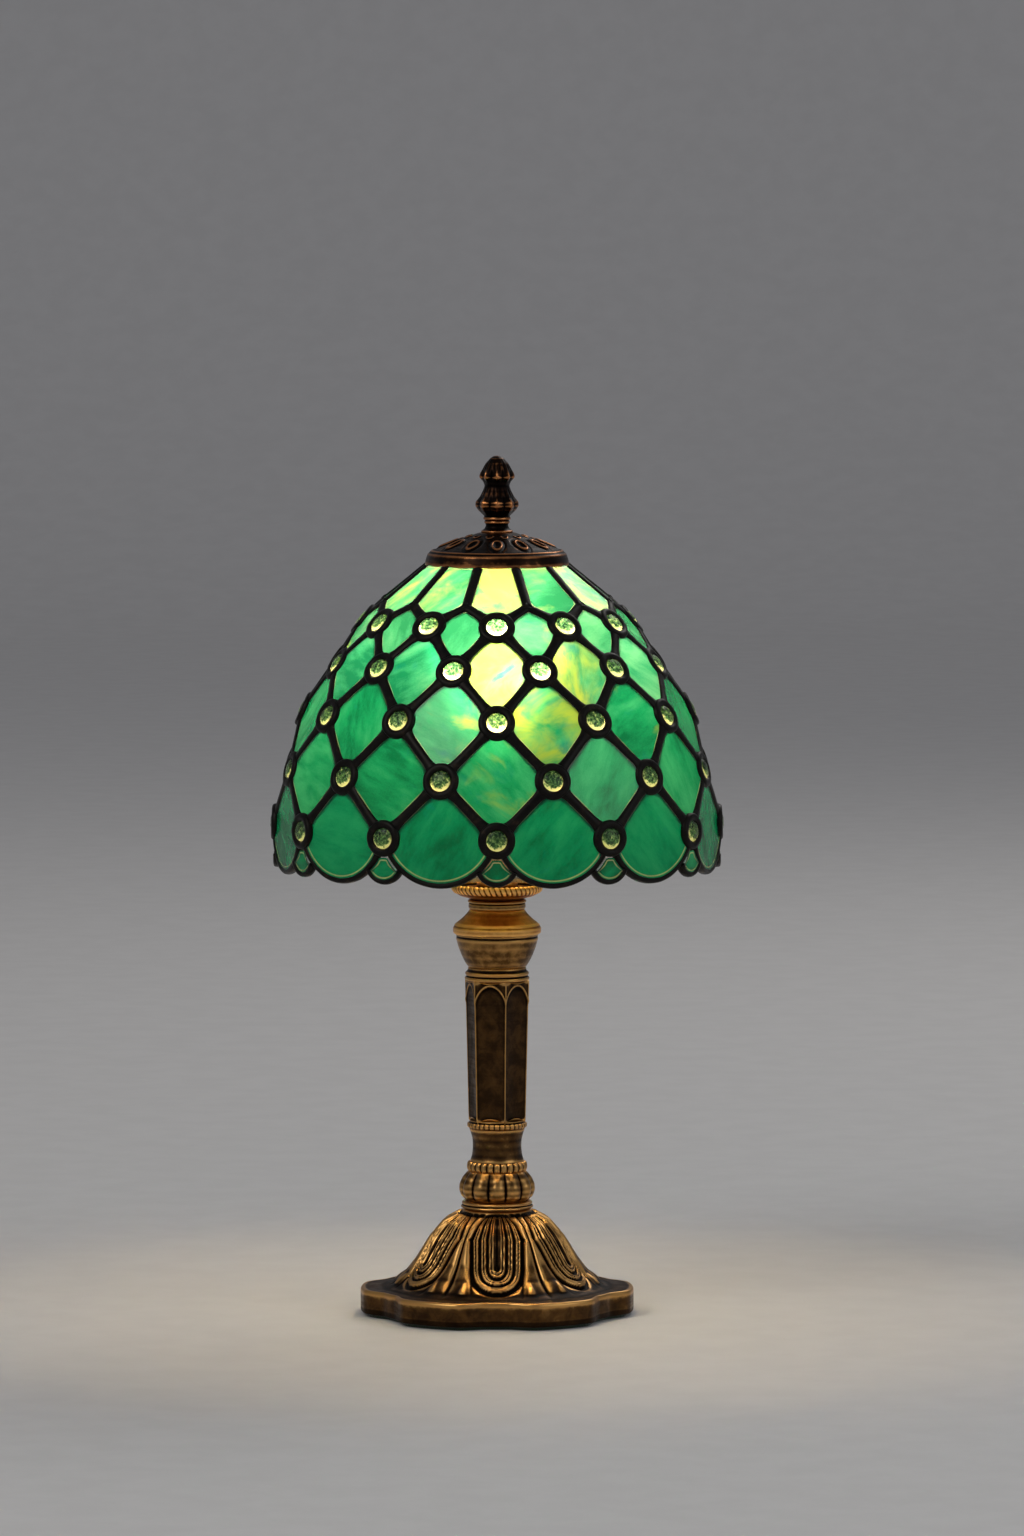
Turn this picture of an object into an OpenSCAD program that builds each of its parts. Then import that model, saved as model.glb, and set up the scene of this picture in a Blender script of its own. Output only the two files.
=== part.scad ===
// Leaded stained-glass table lamp: a domed twelve-sided shade of flat opal panes and round
// jewels, on a cast bronze stem with a six-lobed foot, lit by one screw-base bulb.
// Millimetres, +Z up, origin on the table at the centre of the foot, front of the lamp on -Y.

/* [Shade] */
// Radius of the shade at the centres of its lowest jewels
shade_r = 99.2; // [96:0.1:104]
// Height of the shade, from its lower rim to its crown
shade_h = 136; // [130:1:142]
// Height of the shade's lower rim above the table
rim_z = 201; // [200:1:204]
// Thickness of the glass
glass_t = 2.8; // [2.2:0.1:3.2]
// Width of a solder seam's core, between two panes
seam_w = 2.0; // [1.4:0.1:2.2]
// Depth of a solder seam, through the glass
seam_depth = 4.0; // [3.4:0.1:4.6]
// Radius of a glass jewel
jewel_r = 4.9; // [4.2:0.1:5.2]
// Outer radius of the solder ring round a jewel
jewel_ring_r = 7.0; // [6.6:0.1:7.2]

/* [Foot] */
// Largest radius of the six-lobed foot
foot_r = 61.4; // [60:0.2:64]
// Depth of the six notches between the lobes
notch_depth = 5.6; // [3:0.2:6]
// Height of the plinth's edge above the table
plinth_top_z = 12.5; // [12:0.5:14]
// Thickness of the felt under the foot
felt_t = 1.5; // [1:0.1:2]

/* [Stem] */
// Outer radius of the threaded pipe that clamps the stem together
pipe_r = 5.0; // [4.6:0.1:5.2]
// Bore of the threaded pipe, for the wires
pipe_bore_r = 3.5; // [2.5:0.1:3.8]
// Radius of the six-sided column at its top corners
column_top_r = 14.5; // [14:0.1:15]
// Radius of the six-sided column at its bottom corners
column_bottom_r = 13.0; // [12.6:0.1:13.6]
// Turn of the column's panels about the stem
column_turn = -14; // [-30:1:30]

/* [Socket, bulb and harp] */
// Largest radius of the bulb's glass
bulb_r = 24; // [20:0.5:25]
// Height of the top of the bulb
bulb_top_z = 320; // [310:1:322]
// Half the thickness of the harp's square rod
harp_wire_r = 1.5; // [1.2:0.1:1.6]
// Distance of the harp's legs from the stem's axis
harp_leg_x = 22; // [21.5:0.1:23]

/* [Hidden] */
$fn = 96;
tiny = 0.01;

// Clearances: round the clamped parts, round running parts and between parts of the shade
pipe_hole_r = pipe_r + 0.1;
running = 0.07;
shade_gap = 0.5;

// The shade: rings of lead joints from the crown to the rim. Each has a radius, as a share of
// shade_r, and a height, as a share of shade_h. Joints in phase with the front stand at 0, 30,
// 60 degrees and so on, and the others half a step on.
per_row = 12;
step = 360 / per_row;
CROWN = 0;
FORK = 1;
FIRST_JEWEL = 2;
LAST_JEWEL = 6;
RIM = 7;
ring_share = [[0.3125, 1], [0.520, 0.879], [0.600, 0.820], [0.736, 0.684], [0.867, 0.526],
    [0.953, 0.341], [1, 0.154], [0.973, 0]];
ring_in_phase = [false, false, true, false, true, false, true, false];
seam_inset = seam_w / 2 + shade_gap;

function ring_r(i) = ring_share[i][0] * shade_r;
function ring_z(i) = rim_z + ring_share[i][1] * shade_h;
function ring_turn(i) = ring_in_phase[i] ? 0 : step / 2;
function at_turn(r, turn, z) = [r * sin(turn), -r * cos(turn), z];
function unit(v) = v / norm(v);
// Angle of the shade's surface above the horizontal between two rings
function slope_between(i, j) = atan2(ring_z(i) - ring_z(j), ring_r(j) - ring_r(i));

// Points on an arc in a plane, from one angle to another
function arc(centre, r, from, to, n) =
    [for (k = [0 : n]) centre + r * [cos(from + (to - from) * k / n), sin(from + (to - from) * k / n)]];
// Outline of a turned ring with a half-round edge
function bead_outline(hole_r, r, z0, z1) = concat(
    [[hole_r, z0]],
    arc([r - (z1 - z0) / 2, (z0 + z1) / 2], (z1 - z0) / 2, -90, 90, 8),
    [[hole_r, z1]]);

module turned(outline) rotate_extrude() polygon(outline);
module tube(r, hole_r, h) difference() {
    cylinder(r = r, h = h);
    translate([0, 0, -1]) cylinder(r = hole_r, h = h + 2);
}
module round_the_shade(turn = 0) for (k = [0 : per_row - 1]) rotate(turn + k * step) children();

// ---- Foot ----

foot_top_z = 47.6;
foot_roof_z = 38.5;
foot_hollow_r = 50;
inlet_z = 6;
inlet_hole_r = 3.4;
inlet_bore_r = 2.5;
felt_margin = 3;
lobes = 6;
outline_steps = 144;

// How far a point of the foot's outline lies from a notch, 0 at the notch and 1 on a lobe
function lobe_share(turn) = let (
    pitch = 360 / lobes,
    from_notch = abs(turn - pitch * round(turn / pitch)),
    t = max(0, min(1, (from_notch - 4) / 14))) t * t * (3 - 2 * t);
function foot_outline(r) = [for (k = [0 : outline_steps - 1]) let (turn = k * 360 / outline_steps)
    (r - notch_depth * (1 - lobe_share(turn))) * [sin(turn), -cos(turn)]];

module felt_pad() color("darkolivegreen")
    linear_extrude(felt_t) polygon(foot_outline(foot_r - felt_margin));

module foot_casting() color("#5a4630") difference() {
    union() {
        translate([0, 0, felt_t]) linear_extrude(plinth_top_z - felt_t) polygon(foot_outline(foot_r));
        turned([[0, plinth_top_z - 1], [48, plinth_top_z - 1], [46, 13.5], [39.7, 18.5], [35.2, 24.4],
            [32.5, 28.9], [28.9, 34.7], [23.5, 41], [16.6, 44.7], [15, foot_top_z], [0, foot_top_z]]);
    }
    turned([[0, 0], [foot_hollow_r, 0], [foot_hollow_r, plinth_top_z - 3], [42.5, 10.2],
        [36, 15], [31.5, 21.5], [28.8, 26], [25, 32], [20, 36.5], [15, foot_roof_z], [0, foot_roof_z]]);
    cylinder(r = pipe_hole_r, h = foot_top_z + 1);
    translate([0, foot_hollow_r - 2, inlet_z]) rotate([-90, 0, 0]) cylinder(r = inlet_hole_r, h = 20);
}

washer_t = 2;
nut_h = 6;
module bottom_washer() color("silver")
    translate([0, 0, foot_roof_z - washer_t]) tube(11, pipe_hole_r, washer_t);
module bottom_nut() color("gray")
    translate([0, 0, foot_roof_z - washer_t - nut_h]) difference() {
        cylinder(r = 9, h = nut_h, $fn = 6);
        translate([0, 0, -1]) cylinder(r = pipe_hole_r, h = nut_h + 2);
    }

// The bushing's barrel fills the hole in the back of the plinth, with a flange outside it
bushing_face_y = foot_r - notch_depth + 0.05;
bushing_barrel_r = inlet_hole_r - 0.05;
bushing_back_y = foot_hollow_r - 1.5;
bushing_flange_t = 1.6;
module cord_bushing() color("black")
    translate([0, 0, inlet_z]) rotate([-90, 0, 0]) difference() {
        union() {
            translate([0, 0, bushing_back_y])
                cylinder(r = bushing_barrel_r, h = bushing_face_y - bushing_back_y + tiny);
            translate([0, 0, bushing_face_y]) cylinder(r = 4.4, h = bushing_flange_t);
        }
        translate([0, 0, bushing_back_y - 1]) cylinder(r = inlet_bore_r, h = 20);
    }

pipe_bottom_z = 24;
pipe_top_z = 204;
module threaded_pipe() color("goldenrod")
    translate([0, 0, pipe_bottom_z]) tube(pipe_r, pipe_bore_r, pipe_top_z - pipe_bottom_z);

// ---- Stem, stacked on the pipe from the foot up ----

collar_top_z = 51.2;
knop_top_z = 64.7;
ornament_top_z = 68.8;
neck_top_z = 83.8;
column_z = 87.5;
column_h = 63;
astragal_z = column_z + column_h;
urn_z = 156.5;
band_z = 171.5;
cone_z = 176;
neck_ring_z = 182.7;
bobeche_z = 187;
saddle_z = 195;
gadroons = 12;
gadroon_r = 4.7;

module collar_ring() color("#6b5535")
    turned(bead_outline(pipe_hole_r, 16.4, foot_top_z, collar_top_z));

// A knop with twelve upright gadroons round a plain core
module gadrooned_knop() color("#5f4a2e") difference() {
    intersection() {
        turned([[0, collar_top_z], [13.8, collar_top_z], [15.8, 53.4], [16.6, 56], [16.4, 58.5],
            [15.2, 61.4], [13.6, 63.6], [12.6, knop_top_z], [0, knop_top_z]]);
        translate([0, 0, collar_top_z - 1]) union() {
            cylinder(r = 13.6, h = 16);
            for (k = [0 : gadroons - 1]) rotate(k * 360 / gadroons)
                translate([0, -12.1, 0]) cylinder(r = gadroon_r, h = 16);
        }
    }
    translate([0, 0, collar_top_z - 1]) cylinder(r = pipe_hole_r, h = 16);
}

module ornamented_collar() color("#6b5535")
    turned(bead_outline(pipe_hole_r, 13.4, knop_top_z, ornament_top_z));

module stem_neck() color("#6b5535")
    turned([[pipe_hole_r, ornament_top_z], [12.2, ornament_top_z], [11.3, 71.5], [10.9, 75],
        [11, 78.5], [11.7, 81.6], [12.6, neck_top_z], [pipe_hole_r, neck_top_z]]);

module column_lower_ring() color("#7a6138")
    turned(bead_outline(pipe_hole_r, 13.4, neck_top_z, column_z));

// Six tapering sides, each with a shallow round-headed panel
panel_depth = 0.5;
panel_w = 10;
column_lean = atan2((column_top_r - column_bottom_r) * cos(30), column_h);
module column_panel() translate([0, -column_bottom_r * cos(30), column_z]) rotate([column_lean, 0, 0]) {
    translate([-panel_w / 2, -2, 4]) cube([panel_w, 2 + panel_depth, column_h - 14]);
    translate([0, panel_depth, column_h - 10]) rotate([90, 0, 0])
        cylinder(r = panel_w / 2, h = 2 + panel_depth);
}
module hex_column() color("#6b5535") difference() {
    rotate(column_turn + 60) translate([0, 0, column_z])
        cylinder(r1 = column_bottom_r, r2 = column_top_r, h = column_h, $fn = 6);
    for (k = [0 : 5]) rotate(column_turn + k * 60) column_panel();
    translate([0, 0, column_z - 1]) cylinder(r = pipe_hole_r, h = column_h + 2);
}

module astragal_ring() color("#7a6138")
    turned(concat([[pipe_hole_r, astragal_z], [14.6, astragal_z], [13.4, astragal_z + 1.4]],
        arc([12.7, 153.9], 1.8, -60, 60, 6),
        [[13.2, urn_z], [pipe_hole_r, urn_z]]));

module urn_bowl() color("#6b5535")
    turned([[pipe_hole_r, urn_z], [12.8, urn_z], [14.2, 158.4], [15.8, 161.6], [17.4, 165.6],
        [18.9, band_z], [pipe_hole_r, band_z]]);

module urn_rim_band() color("#8a7040")
    turned(bead_outline(pipe_hole_r, 19.8, band_z, cone_z));

module urn_cone() color("#b08a45")
    turned([[pipe_hole_r, cone_z], [18.8, cone_z], [15.5, 178.6], [13, 181.4], [12.2, neck_ring_z],
        [pipe_hole_r, neck_ring_z]]);

module neck_ring() color("#7a6138")
    turned(bead_outline(pipe_hole_r, 13.2, neck_ring_z, bobeche_z));

// A shallow saucer with a seat in its middle for the harp's saddle
module bobeche() color("#8a7040")
    turned(concat([[pipe_hole_r, bobeche_z], [11, bobeche_z], [16, 188.6]],
        arc([18.9, 192.2], 1.9, -60, 120, 8),
        [[14, 190.8], [10.5, 190.4], [9, saddle_z], [pipe_hole_r, saddle_z]]));

// ---- Harp ----

saddle_t = 1.5;
saddle_w = 12;
ear_w = 5;
ear_top_z = 206.5;
module harp_saddle() color("goldenrod") difference() {
    union() {
        translate([-harp_leg_x - saddle_t / 2, -ear_w / 2, saddle_z])
            cube([2 * harp_leg_x + saddle_t, ear_w, saddle_t]);
        translate([-saddle_w, -saddle_w / 2, saddle_z]) cube([2 * saddle_w, saddle_w, saddle_t]);
        for (side = [-1, 1]) translate([side * harp_leg_x - saddle_t / 2, -ear_w / 2, saddle_z])
            cube([saddle_t, ear_w, ear_top_z - saddle_z]);
    }
    translate([0, 0, saddle_z - 1]) cylinder(r = pipe_hole_r, h = saddle_t + 2);
}

// The rod runs up its leg, flares out, bows round the bulb, leans in and turns in to the yoke
harp_wire_top_z = 343.5;
flare_bend_r = 40;
flare_angle = 25;
flare_run = 12;
bow_bend_r = 60;
lean_angle = 30;
yoke_bend_r = 10;
yoke_r = 5.5;
yoke_h = 6;
leg_foot_z = ear_top_z + 0.2;
leg_foot_h = 5;
leg_foot_r = 2.4;
wire_reach = 4;
bow_start_x = harp_leg_x + flare_bend_r * (1 - cos(flare_angle)) + flare_run * sin(flare_angle);
bow_centre_x = bow_start_x - bow_bend_r * cos(flare_angle);
lean_start_x = bow_centre_x + bow_bend_r * cos(lean_angle);
lean_end_x = wire_reach + yoke_bend_r * cos(lean_angle);
lean_run = (lean_start_x - lean_end_x) / sin(lean_angle);
lean_end_z = harp_wire_top_z - yoke_bend_r * (1 - sin(lean_angle));
lean_start_z = lean_end_z - lean_run * cos(lean_angle);
bow_centre_z = lean_start_z - bow_bend_r * sin(lean_angle);
bow_start_z = bow_centre_z - bow_bend_r * sin(flare_angle);
flare_end_z = bow_start_z - flare_run * cos(flare_angle);
flare_start_z = flare_end_z - flare_bend_r * sin(flare_angle);

// Points along the right side's middle line, each [x, z, heading], with the heading in degrees
// outwards from upright
bow_centre = [bow_centre_x, bow_centre_z];
yoke_bend_centre = [wire_reach, harp_wire_top_z - yoke_bend_r];
function beside(heading, r) = r * [cos(heading), -sin(heading)];
function with_heading(at, heading) = [at[0], at[1], heading];
harp_line = concat(
    [[harp_leg_x, leg_foot_z + 1, 0]],
    [for (h = [0 : flare_angle / 5 : flare_angle])
        with_heading([harp_leg_x + flare_bend_r, flare_start_z] - beside(h, flare_bend_r), h)],
    [for (k = [0 : 12]) let (h = flare_angle - (flare_angle + lean_angle) * k / 12)
        with_heading(bow_centre + beside(h, bow_bend_r), h)],
    [for (k = [0 : 6]) let (h = -lean_angle - (90 - lean_angle) * k / 6)
        with_heading(yoke_bend_centre + beside(h, yoke_bend_r), h)]);
function line_side(side) = [for (p = harp_line) [p[0], p[1]] + beside(p[2], side * harp_wire_r)];
function backwards(points) = [for (k = [len(points) - 1 : -1 : 0]) points[k]];

module harp_side() {
    translate([harp_leg_x, 0, leg_foot_z]) cylinder(r = leg_foot_r, h = leg_foot_h);
    translate([0, harp_wire_r, 0]) rotate([90, 0, 0]) linear_extrude(2 * harp_wire_r)
        polygon(concat(line_side(1), backwards(line_side(-1))));
}
stud_pin_r = 2.2;
module harp_bow() color("goldenrod") difference() {
    union() {
        harp_side();
        mirror([1, 0, 0]) harp_side();
        translate([0, 0, harp_wire_top_z - yoke_h / 2]) cylinder(r = yoke_r, h = yoke_h);
    }
    translate([0, 0, harp_wire_top_z - yoke_h]) cylinder(r = stud_pin_r + running, h = 2 * yoke_h);
}

// The swivel stud: a pin riveted through the yoke, a seat for the shade and a thread
seat_z = harp_wire_top_z + yoke_h / 2;
seat_t = 1.5;
stud_r = 3.1;
stud_top_z = 362;
module harp_stud() color("gold") {
    translate([0, 0, harp_wire_top_z - yoke_h / 2 - 1.2]) cylinder(r = 3.4, h = 1.2);
    translate([0, 0, harp_wire_top_z - yoke_h / 2 - tiny]) cylinder(r = stud_pin_r, h = yoke_h + 2 * tiny);
    translate([0, 0, seat_z]) cylinder(r = 7, h = seat_t);
    translate([0, 0, seat_z + seat_t - tiny]) cylinder(r = stud_r, h = stud_top_z - seat_z - seat_t + tiny);
}

ferrule_z = 200;
ferrule_h = 11;
module harp_ferrule(side) color("gold")
    translate([side * harp_leg_x, 0, ferrule_z]) tube(3.9, 3.1, ferrule_h);

// ---- Socket ----

cap_z = saddle_z + saddle_t;
cap_r = 16.6;
cap_wall = 0.9;
cap_top_z = 209;
hub_r = 8;
hub_h = 4;
shell_r = 15.6;
shell_wall = 0.6;
shell_z = 205;
shell_top_z = 250;
liner_r = shell_r - shell_wall - 0.05;
liner_wall = 0.5;
body_r = 14.2;
body_z = 205;
body_h = 17;
terminal_z = 211;
key_z = 216.5;
key_shaft_r = 1.5;
set_screw_z = cap_z + 2;

module socket_cap() color("#c9a24a") difference() {
    turned([[0, cap_z], [hub_r, cap_z], [hub_r, cap_z + 1.5], [12, 198.8], [15.6, 202], [cap_r, 205],
        [cap_r, cap_top_z], [shell_r + 0.1, cap_top_z], [shell_r + 0.1, 204.9], [14.2, 202.6],
        [11.5, cap_z + hub_h], [0, cap_z + hub_h]]);
    translate([0, 0, cap_z - 1]) cylinder(r = pipe_hole_r, h = hub_h + 2);
    translate([0, 0, set_screw_z]) rotate([-90, 0, 0]) cylinder(r = 1.25, h = 20);
}
module socket_set_screw() color("silver")
    translate([0, pipe_r + 0.15, set_screw_z]) rotate([-90, 0, 0]) cylinder(r = 1.2, h = 4.2);

module key_hole(r) translate([0, 0, key_z]) rotate([90, 0, 0]) cylinder(r = r, h = 30);
module socket_shell() color("#c9a24a") difference() {
    translate([0, 0, shell_z]) tube(shell_r, shell_r - shell_wall, shell_top_z - shell_z);
    key_hole(2.1);
}
module socket_liner() color("tan") difference() {
    translate([0, 0, shell_z + 1]) tube(liner_r, liner_r - liner_wall, shell_top_z - shell_z - 1);
    key_hole(2.1);
}
module at_terminals() for (side = [-1, 1]) translate([0, 0, terminal_z]) rotate([0, side * 90, 0]) children();
module socket_body() color("#1c1a19") difference() {
    translate([0, 0, body_z]) cylinder(r = body_r, h = body_h);
    translate([0, 0, body_z - 1]) cylinder(r = 6, h = 5);
    at_terminals() {
        translate([0, 0, 5]) cylinder(r = 1.55, h = 12);
        translate([0, 0, 11.2]) cylinder(r = 3.3, h = 6);
    }
    translate([0, -2, key_z]) rotate([90, 0, 0]) cylinder(r = key_shaft_r + running, h = 20);
}
module terminal_screws() color("gold") at_terminals() {
    translate([0, 0, 6]) cylinder(r = 1.5, h = 5.4);
    translate([0, 0, 11.3]) cylinder(r = 2.8, h = 2.1);
}
screw_base_r = 13.1;
module screw_shell() color("silver")
    translate([0, 0, body_z + body_h]) tube(13.9, screw_base_r + running, 27);
module centre_contact() color("gold")
    translate([0, 0, body_z + body_h]) cylinder(r = 3, h = 1.8);

key_inner_y = 3;
knob_inner_y = 17.4;
knob_l = 11;
module switch_shaft() color("gold")
    translate([0, -key_inner_y, key_z]) rotate([90, 0, 0])
        cylinder(r = key_shaft_r, h = knob_inner_y + 6 - key_inner_y);
// A black knob with flutes along it
module switch_knob() color("#141210")
    translate([0, -knob_inner_y, key_z]) rotate([90, 0, 0]) difference() {
        cylinder(r = 4.3, h = knob_l);
        for (k = [0 : 11]) rotate(k * 30) translate([4.8, 0, 2.5]) cylinder(r = 0.8, h = knob_l, $fn = 16);
        translate([0, 0, -1]) cylinder(r = key_shaft_r + 0.02, h = 7.05);
    }

// ---- Bulb ----

bulb_tip_z = body_z + body_h + 2;
insulator_z = bulb_tip_z + 1.2;
bulb_base_z = insulator_z + 2.6;
bulb_base_top_z = 249.5;
glass_wall = 0.8;
bulb_belly_z = bulb_top_z - bulb_r;
bulb_neck_r = 12.4;
// Outline of the bulb's glass, closed at the top, with its neck widening into the round top
function bulb_outline(shrink) = concat(
    [[0, bulb_base_top_z + shrink], [bulb_neck_r - shrink, bulb_base_top_z + shrink],
        [bulb_neck_r + 0.8 - shrink, bulb_base_top_z + 9]],
    arc([0, bulb_belly_z], bulb_r - shrink, -38, 90, 14));

module bulb_contact() color("silver") translate([0, 0, bulb_tip_z]) cylinder(r = 4, h = insulator_z - bulb_tip_z);
module bulb_insulator() color("#101014")
    turned([[0, insulator_z], [5, insulator_z], [10, bulb_base_z], [0, bulb_base_z]]);
module bulb_screw_base() color("silver") difference() {
    translate([0, 0, bulb_base_z]) cylinder(r = screw_base_r, h = bulb_base_top_z - bulb_base_z);
    translate([0, 0, bulb_base_z + 1]) cylinder(r = screw_base_r - 0.6, h = 60);
}
module bulb_glass() color("#fff4d8", 0.5) difference() {
    turned(bulb_outline(0));
    turned(bulb_outline(glass_wall));
}
filament_z = 290;
mount_r = 3;
module bulb_stem() color("#e8eef0", 0.6) {
    translate([0, 0, bulb_base_top_z + glass_wall]) cylinder(r = mount_r, h = 20);
    for (side = [-1, 1])
        translate([side * 2, 0, bulb_base_top_z + glass_wall + 19])
            rotate([0, side * 14, 0]) cylinder(r = 0.4, h = filament_z - bulb_base_top_z - 19.9, $fn = 16);
}
filament_bow_r = 8;
module bulb_filament() color("orange")
    translate([0, 0, filament_z + 0.2]) rotate([90, 0, 0])
        rotate_extrude(angle = 180) translate([filament_bow_r, 0]) circle(r = 0.6, $fn = 16);

// ---- Shade ----

// A pane's corners lie on three or four rings of joints. In the pane's own plane, +X runs round
// the shade and +Y up its slope, with the origin at the middle of the pane's top joint.
// An inward-curved corner of radius clear leaves room for the solder ring or blob there.
function corner_arc(before, at, after, clear) = let (
    to_before = before - at,
    to_after = after - at,
    start = atan2(to_after[1], to_after[0]),
    turn = atan2(to_before[1], to_before[0]) - start,
    sweep = turn < 0 ? turn + 360 : turn,
    trim = asin(min(1, seam_inset / clear)))
    arc(at, clear, start + sweep - trim, start + trim, 4);
// corners is a list of [point, clear] anticlockwise round the pane
function pane_outline(corners) = let (n = len(corners)) [for (k = [0 : n - 1])
    each corner_arc(corners[(k + n - 1) % n][0], corners[k][0], corners[(k + 1) % n][0], corners[k][1])];

jewel_clear = jewel_ring_r + shade_gap;
joint_clear = 3;

// A joint half a step to the side, in the plane that leans at slope from ring top
function side_joint(top, i, slope) = [ring_r(i) * sin(step / 2),
    (ring_r(top) - ring_r(i) * cos(step / 2)) * cos(slope) + (ring_z(i) - ring_z(top)) * sin(slope)];
// How far such a joint stands off that plane
function side_stand(top, i, slope) =
    (ring_r(i) * cos(step / 2) - ring_r(top)) * sin(slope) + (ring_z(i) - ring_z(top)) * cos(slope);

// The children start half a depth behind the plane and stand off the plane by stand
module in_pane_plane(r, z, slope, stand, depth = glass_t) translate([0, -r, z]) rotate([slope, 0, 0])
    translate([0, 0, stand - depth / 2]) children();

// The four-cornered panes between one ring, the ring below it and the ring below that
module diamond_row(top) {
    slope = slope_between(top, top + 2);
    side = side_joint(top, top + 1, slope);
    low = -norm([ring_r(top + 2) - ring_r(top), ring_z(top + 2) - ring_z(top)]);
    top_clear = top == FORK ? joint_clear : jewel_clear;
    corners = [[[0, 0], top_clear], [[-side[0], side[1]], jewel_clear],
        [[0, low], jewel_clear], [side, jewel_clear]];
    round_the_shade(ring_turn(top))
        in_pane_plane(ring_r(top), ring_z(top), slope, side_stand(top, top + 1, slope) / 2)
            linear_extrude(glass_t) polygon(pane_outline(corners));
}

// Five-cornered panes under the crown, with their lowest corner on the first jewels
module crown_row() {
    crown_r = ring_r(CROWN) * cos(step / 2);
    slope = atan2(ring_z(CROWN) - ring_z(FIRST_JEWEL), ring_r(FIRST_JEWEL) - crown_r);
    low = -norm([ring_r(FIRST_JEWEL) - crown_r, ring_z(FIRST_JEWEL) - ring_z(CROWN)]);
    top_x = ring_r(CROWN) * sin(step / 2);
    fork_x = ring_r(FORK) * sin(step / 2);
    fork_y = (crown_r - ring_r(FORK) * cos(step / 2)) * cos(slope)
        + (ring_z(FORK) - ring_z(CROWN)) * sin(slope);
    corners = [[[top_x, 0], joint_clear], [[-top_x, 0], joint_clear], [[-fork_x, fork_y], joint_clear],
        [[0, low], jewel_clear], [[fork_x, fork_y], joint_clear]];
    round_the_shade() in_pane_plane(crown_r, ring_z(CROWN), slope, 0)
        linear_extrude(glass_t) polygon(pane_outline(corners));
}

// The skirt's panes end in round scallops that hang between the lowest jewels. Each scallop is
// an arc in the pane's own plane, about a point on the pane's middle line above those jewels.
scallop_r = 25;
scallop_rise = 5.8;
skirt_top = LAST_JEWEL - 1;
skirt_slope = slope_between(skirt_top, RIM);
skirt_side = side_joint(skirt_top, LAST_JEWEL, skirt_slope);
scallop_y = skirt_side[1] + scallop_rise;
scallop_reach = norm([skirt_side[0], scallop_rise]);
scallop_lean = atan2(scallop_rise, skirt_side[0]);
// Angle at a circle's centre, reach away from another's, of the point where the two meet
function meeting_angle(reach, r, other_r) = acos((reach * reach + r * r - other_r * other_r) / (2 * reach * r));

module in_skirt_plane(depth) round_the_shade(step / 2) in_pane_plane(ring_r(skirt_top), ring_z(skirt_top),
    skirt_slope, side_stand(skirt_top, LAST_JEWEL, skirt_slope) / 2, depth) linear_extrude(depth) children();
module skirt_row() {
    edge_angle = atan2(-skirt_side[1], skirt_side[0]) - asin(seam_inset / jewel_clear);
    foot_angle = scallop_lean - meeting_angle(scallop_reach, jewel_clear, scallop_r);
    arc_start = 180 + scallop_lean + meeting_angle(scallop_reach, scallop_r, jewel_clear);
    in_skirt_plane(glass_t) polygon(concat(
        corner_arc(skirt_side, [0, 0], [-skirt_side[0], skirt_side[1]], jewel_clear),
        arc([-skirt_side[0], skirt_side[1]], jewel_clear, edge_angle, foot_angle, 5),
        arc([0, scallop_y], scallop_r, arc_start, 540 - arc_start, 16),
        arc(skirt_side, jewel_clear, 180 - foot_angle, 180 - edge_angle, 5)));
}

// Small fans fill in under the lowest jewels, between two scallops. Their plane is upright and
// its origin is at the jewel's centre.
fan_r = 98.2;
fan_top = [2.1, -10];
fan_side_r = scallop_r + 2.9;
fan_side_x = skirt_side[0] * cos(step / 2);
fan_arc_r = 7.6;
fan_arc_y = -10.6;
fan_arc_start = -33;
fan_corner = [0, fan_arc_y] + fan_arc_r * [cos(fan_arc_start), sin(fan_arc_start)];
module in_fan_plane(depth) round_the_shade() in_pane_plane(fan_r, ring_z(LAST_JEWEL), 90, 0, depth)
    linear_extrude(depth) children();
module fan_row() {
    centre = [fan_side_x, scallop_rise];
    top_angle = 180 + asin((scallop_rise - fan_top[1]) / fan_side_r);
    corner_angle = 180 + asin((scallop_rise - fan_corner[1]) / fan_side_r);
    side = arc(centre, fan_side_r, corner_angle, top_angle, 4);
    in_fan_plane(glass_t) polygon(concat(side, [[0, fan_top[1] + 0.4]],
        [for (k = [4 : -1 : 0]) [-side[k][0], side[k][1]]],
        arc([0, fan_arc_y], fan_arc_r, 180 - fan_arc_start, 360 + fan_arc_start, 8)));
}

module jewel_row(i) color("#c8d890") {
    slope = slope_between(i - 1, i + 1);
    round_the_shade(ring_turn(i)) translate([0, -ring_r(i), ring_z(i)]) rotate([slope, 0, 0])
        turned([[0, -1.8], [jewel_r - 0.1, -1.8], [jewel_r - 0.1, 0.6], [4.1, 1.4], [2.9, 2], [1.5, 2.3],
            [0, 2.4]]);
}

// Solder: a ring round every jewel and a seam along every line where two panes meet
module jewel_rings(i) {
    slope = slope_between(i - 1, i + 1);
    round_the_shade(ring_turn(i)) translate([0, -ring_r(i), ring_z(i)]) rotate([slope, 0, 0])
        translate([0, 0, -seam_depth / 2]) tube(jewel_ring_r, jewel_r, seam_depth);
}
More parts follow.
